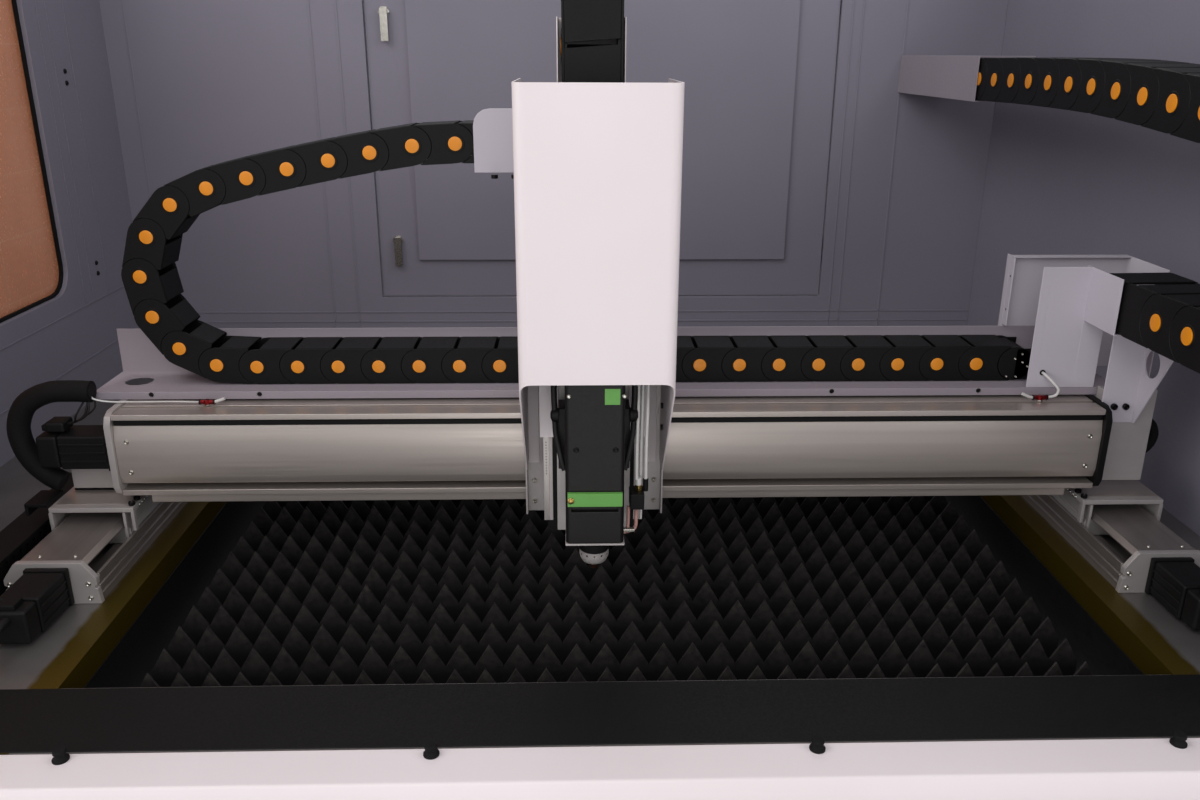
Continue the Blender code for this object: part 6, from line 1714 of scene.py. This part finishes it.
@dataclass
class CuttingHead:
    """Slide, optics housing with its drawer, side plugs, tubes and nozzle."""

    front: float = -0.525
    axis_x: float = 0.06
    nozzle_y: float = -0.475
    slide_half: float = 52.9 * MM
    housing_half: float = 50.0 * MM

    def build(self) -> None:
        """Makes and dresses the pieces."""
        slide = Shape()
        half = self.slide_half
        slide.put(BLASTED, block((self.axis_x - half, -0.4283, 0.945), (self.axis_x + half, -0.417, 1.45),
            0.8 * MM), block((self.axis_x - 0.0495, -0.4175, 1.0), (self.axis_x + 0.0495, -0.3603, 1.45),
            0.8 * MM))
        for side in (-1, 1):
            x0, x1 = sorted((self.axis_x + side * 0.05, self.axis_x + side * 0.077))
            slide.put(WHITE_ENAMEL, block((x0, -0.4305, 1.093), (x1, -0.416, 1.3), 0.8 * MM))
        slide.done("slide", "head", ["z_slide"])
        ease_nodes("head", ("chain_channel", WHITE_ENAMEL, "channel", 0.6))
        Shape().node("cutting_head", HARD_BLACK, 1.6 * MM, 3).done("optics_housing", "head",
            ["cutting_head"])
        self.drawer()
        self.front_details()
        self.plugs()
        self.hoses()
        self.nozzle()

    def drawer(self) -> None:
        """The lens drawer: its green front and round brass knob."""
        low, high = (0.0228, -0.531, 1.0305), (0.0975, -0.5195, 1.0497)
        shape = Shape()
        shape.put(GREEN_PRINT, block(low, high, 0.8 * MM))
        at = facing((0.0272, low[1], 1.04), FRONT)
        shape.put(BRASS, turned([(0.0, -1.0 * MM), (4.4 * MM, -1.0 * MM), (4.4 * MM, 1.8 * MM),
            (3.4 * MM, 2.6 * MM), (0.0, 2.6 * MM)], (0, 0), at, 20))
        shape.done("lens_drawer_front", "head", ["lens_drawer"])

    def front_details(self) -> None:
        """Green corner square, screws and lower plate of the housing."""
        shape = Shape()
        front = self.front
        shape.put(GREEN_PRINT, block((0.0728, front - 0.3 * MM, 1.1754), (0.0932, front + 0.5 * MM, 1.1975),
            0.2 * MM, 1))
        for finish, spots, level, thread in ((MOTOR_COAT, (0.0347, 0.0878), 1.1115, 4.0),
                (ZINC, (0.0255, 0.0985), 1.1875, 3.4)):
            places = [(x, front - 0.1 * MM, level) for x in spots]
            shape.screws(finish, places, FRONT, thread * MM, Screw.BUTTON)
        shape.put(BLASTED, block((0.0195, -0.5255, 0.969), (0.101, -0.433, 0.9716), 0.4 * MM, 1))
        shape.done("housing_details", "head")

    def plugs(self) -> None:
        """Plugs on both sides of the housing, and their cables."""
        for side in (-1, 1):
            face = self.axis_x + side * self.housing_half
            shape = Shape()
            at = facing((face, -0.48, 1.145), (side, 0, 0))
            shape.put(POLYAMIDE, turned([(0.0, -1.0 * MM), (10.0 * MM, -1.0 * MM), (10.0 * MM, 3.0 * MM),
                (8.0 * MM, 8.0 * MM), (4.0 * MM, 10.0 * MM), (0.0, 10.0 * MM)], (0, 0), at, 24))
            shape.hose(CABLE_BLACK, [(face + side * 4 * MM, -0.48, 1.15),
                (face + side * 5 * MM, -0.48, 1.18), (face + side * 3 * MM, -0.478, 1.215),
                (face - side * 2 * MM, -0.465, 1.26), (face - side * 6 * MM, -0.455, 1.31),
                (face - side * 9 * MM, -0.45, 1.36)], 4.2 * MM, 12)
            shape.hose(CABLE_BLACK, [(face + side * 4 * MM, -0.48, 1.142),
                (face + side * 3 * MM, -0.482, 1.12), (face - side * 1 * MM, -0.486, 1.1),
                (face - side * 5 * MM, -0.492, 1.083), (face - side * 9 * MM, -0.496, 1.07)], 4.0 * MM, 12)
            shape.done(f"head_plugs_{'left' if side < 0 else 'right'}", "head")

    def hoses(self) -> None:
        """Milky gas and water tubes at the right, their fittings and the small block that holds them."""
        shape = Shape()
        shape.put(POLYAMIDE, block((0.1102, -0.488, 1.0047), (0.1305, -0.456, 1.0289), 2.0 * MM))
        for x, y in ((0.1195, -0.474), (0.1262, -0.466), (0.1325, -0.474)):
            shape.hose(CLEAR_TUBE, [(x, y, 1.046), (x, y, 1.1), (x + 1 * MM, y, 1.17),
                (x, y + 4 * MM, 1.23), (x - 8 * MM, y + 14 * MM, 1.3), (x - 18 * MM, y + 20 * MM, 1.37)],
                2.6 * MM, 10)
        shape.put(BRASS, rod((0.1225, -0.472), 5.4 * MM, Axis.Z, 1.0285, 1.037, 6, 0.5 * MM))
        shape.put(CLEAR_TUBE, rod((0.1225, -0.472), 4.8 * MM, Axis.Z, 1.037, 1.048, 24, 1.0 * MM))
        shape.put(POLYAMIDE, rod((0.1325, -0.474), 4.0 * MM, Axis.Z, 1.0285, 1.047, 20, 0.6 * MM))
        shape.hose(WATER_TUBE, [(0.1196, -0.476, 1.006), (0.1196, -0.476, 0.99), (0.119, -0.476, 0.974),
            (0.113, -0.476, 0.9675), (0.098, -0.476, 0.964)], 2.6 * MM, 12)
        shape.hose(WATER_TUBE, [(0.1085, -0.478, 1.006), (0.1085, -0.478, 0.99), (0.108, -0.478, 0.974)],
            2.4 * MM, 12)
        shape.put(ZINC, rod((-0.477, 0.969), 4.2 * MM, Axis.X, 0.101, 0.118, 6, 0.4 * MM))
        shape.hose(CLEAR_TUBE, [(0.1268, -0.468, 1.006), (0.127, -0.468, 0.993), (0.1268, -0.468, 0.9826)],
            1.8 * MM, 10)
        shape.done("head_hoses", "head")

    def nozzle(self) -> None:
        """Collar, ceramic ring, nut and copper nozzle, turned."""
        centre = (self.axis_x, self.nozzle_y)
        collar = [(0.0, 0.94), (20.4 * MM, 0.94), (21.6 * MM, 0.9412), (21.6 * MM, 0.952),
            (20.6 * MM, 0.953), (20.6 * MM, 0.956), (22.4 * MM, 0.957), (23.0 * MM, 0.96),
            (23.0 * MM, 0.969), (0.0, 0.969)]
        shape = Shape().put(MOTOR_COAT, turned(collar, centre, Axis.Z, 40))
        shape.done("nozzle_collar", "head", ["nozzle_holder"])
        nut = [(0.0, 0.92), (13.0 * MM, 0.92), (16.6 * MM, 0.9216), (18.6 * MM, 0.925), (18.8 * MM, 0.928),
            (20.4 * MM, 0.929), (20.9 * MM, 0.931), (20.9 * MM, 0.9398), (0.0, 0.9398)]
        shape = Shape().put(BLASTED, turned(nut, centre, Axis.Z, 36))
        for k in range(12):
            angle = math.radians(30 * k)
            at = facing((centre[0] + 20.4 * MM * math.cos(angle), centre[1] + 20.4 * MM * math.sin(angle),
                0.9355), (math.cos(angle), math.sin(angle), 0))
            shape.put(ZINC, rod((0, 0), 1.6 * MM, at, -0.4 * MM, 0.5 * MM, 10))
        shape.done("nozzle_nut", "head", ["nozzle_ring"])
        tip = [(0.8 * MM, 0.911), (0.8 * MM, 0.9081), (3.6 * MM, 0.9081), (7.6 * MM, 0.9148),
            (8.0 * MM, 0.918), (11.6 * MM, 0.9188), (12.0 * MM, 0.9195), (12.0 * MM, 0.9198), (0.0, 0.9198),
            (0.0, 0.911)]
        shape = Shape().put(COPPER, turned(tip, centre, Axis.Z, 36))
        shape.done("nozzle_copper", "head", ["nozzle_tip"])


def main() -> None:
    """Builds the whole scene."""
    logging.basicConfig(level=logging.INFO, format="%(message)s")
    bpy.context.scene.view_settings.view_transform = "Standard"
    Studio().build()
    LowerMachine().build()
    Enclosure().build()
    YAxis(Side.LEFT, -0.737).build()
    YAxis(Side.RIGHT, 0.927).build()
    Gantry().build()
    CableChains().build()
    XCarriage().build()
    CuttingHead().build()


if __name__ == "__main__":
    main()
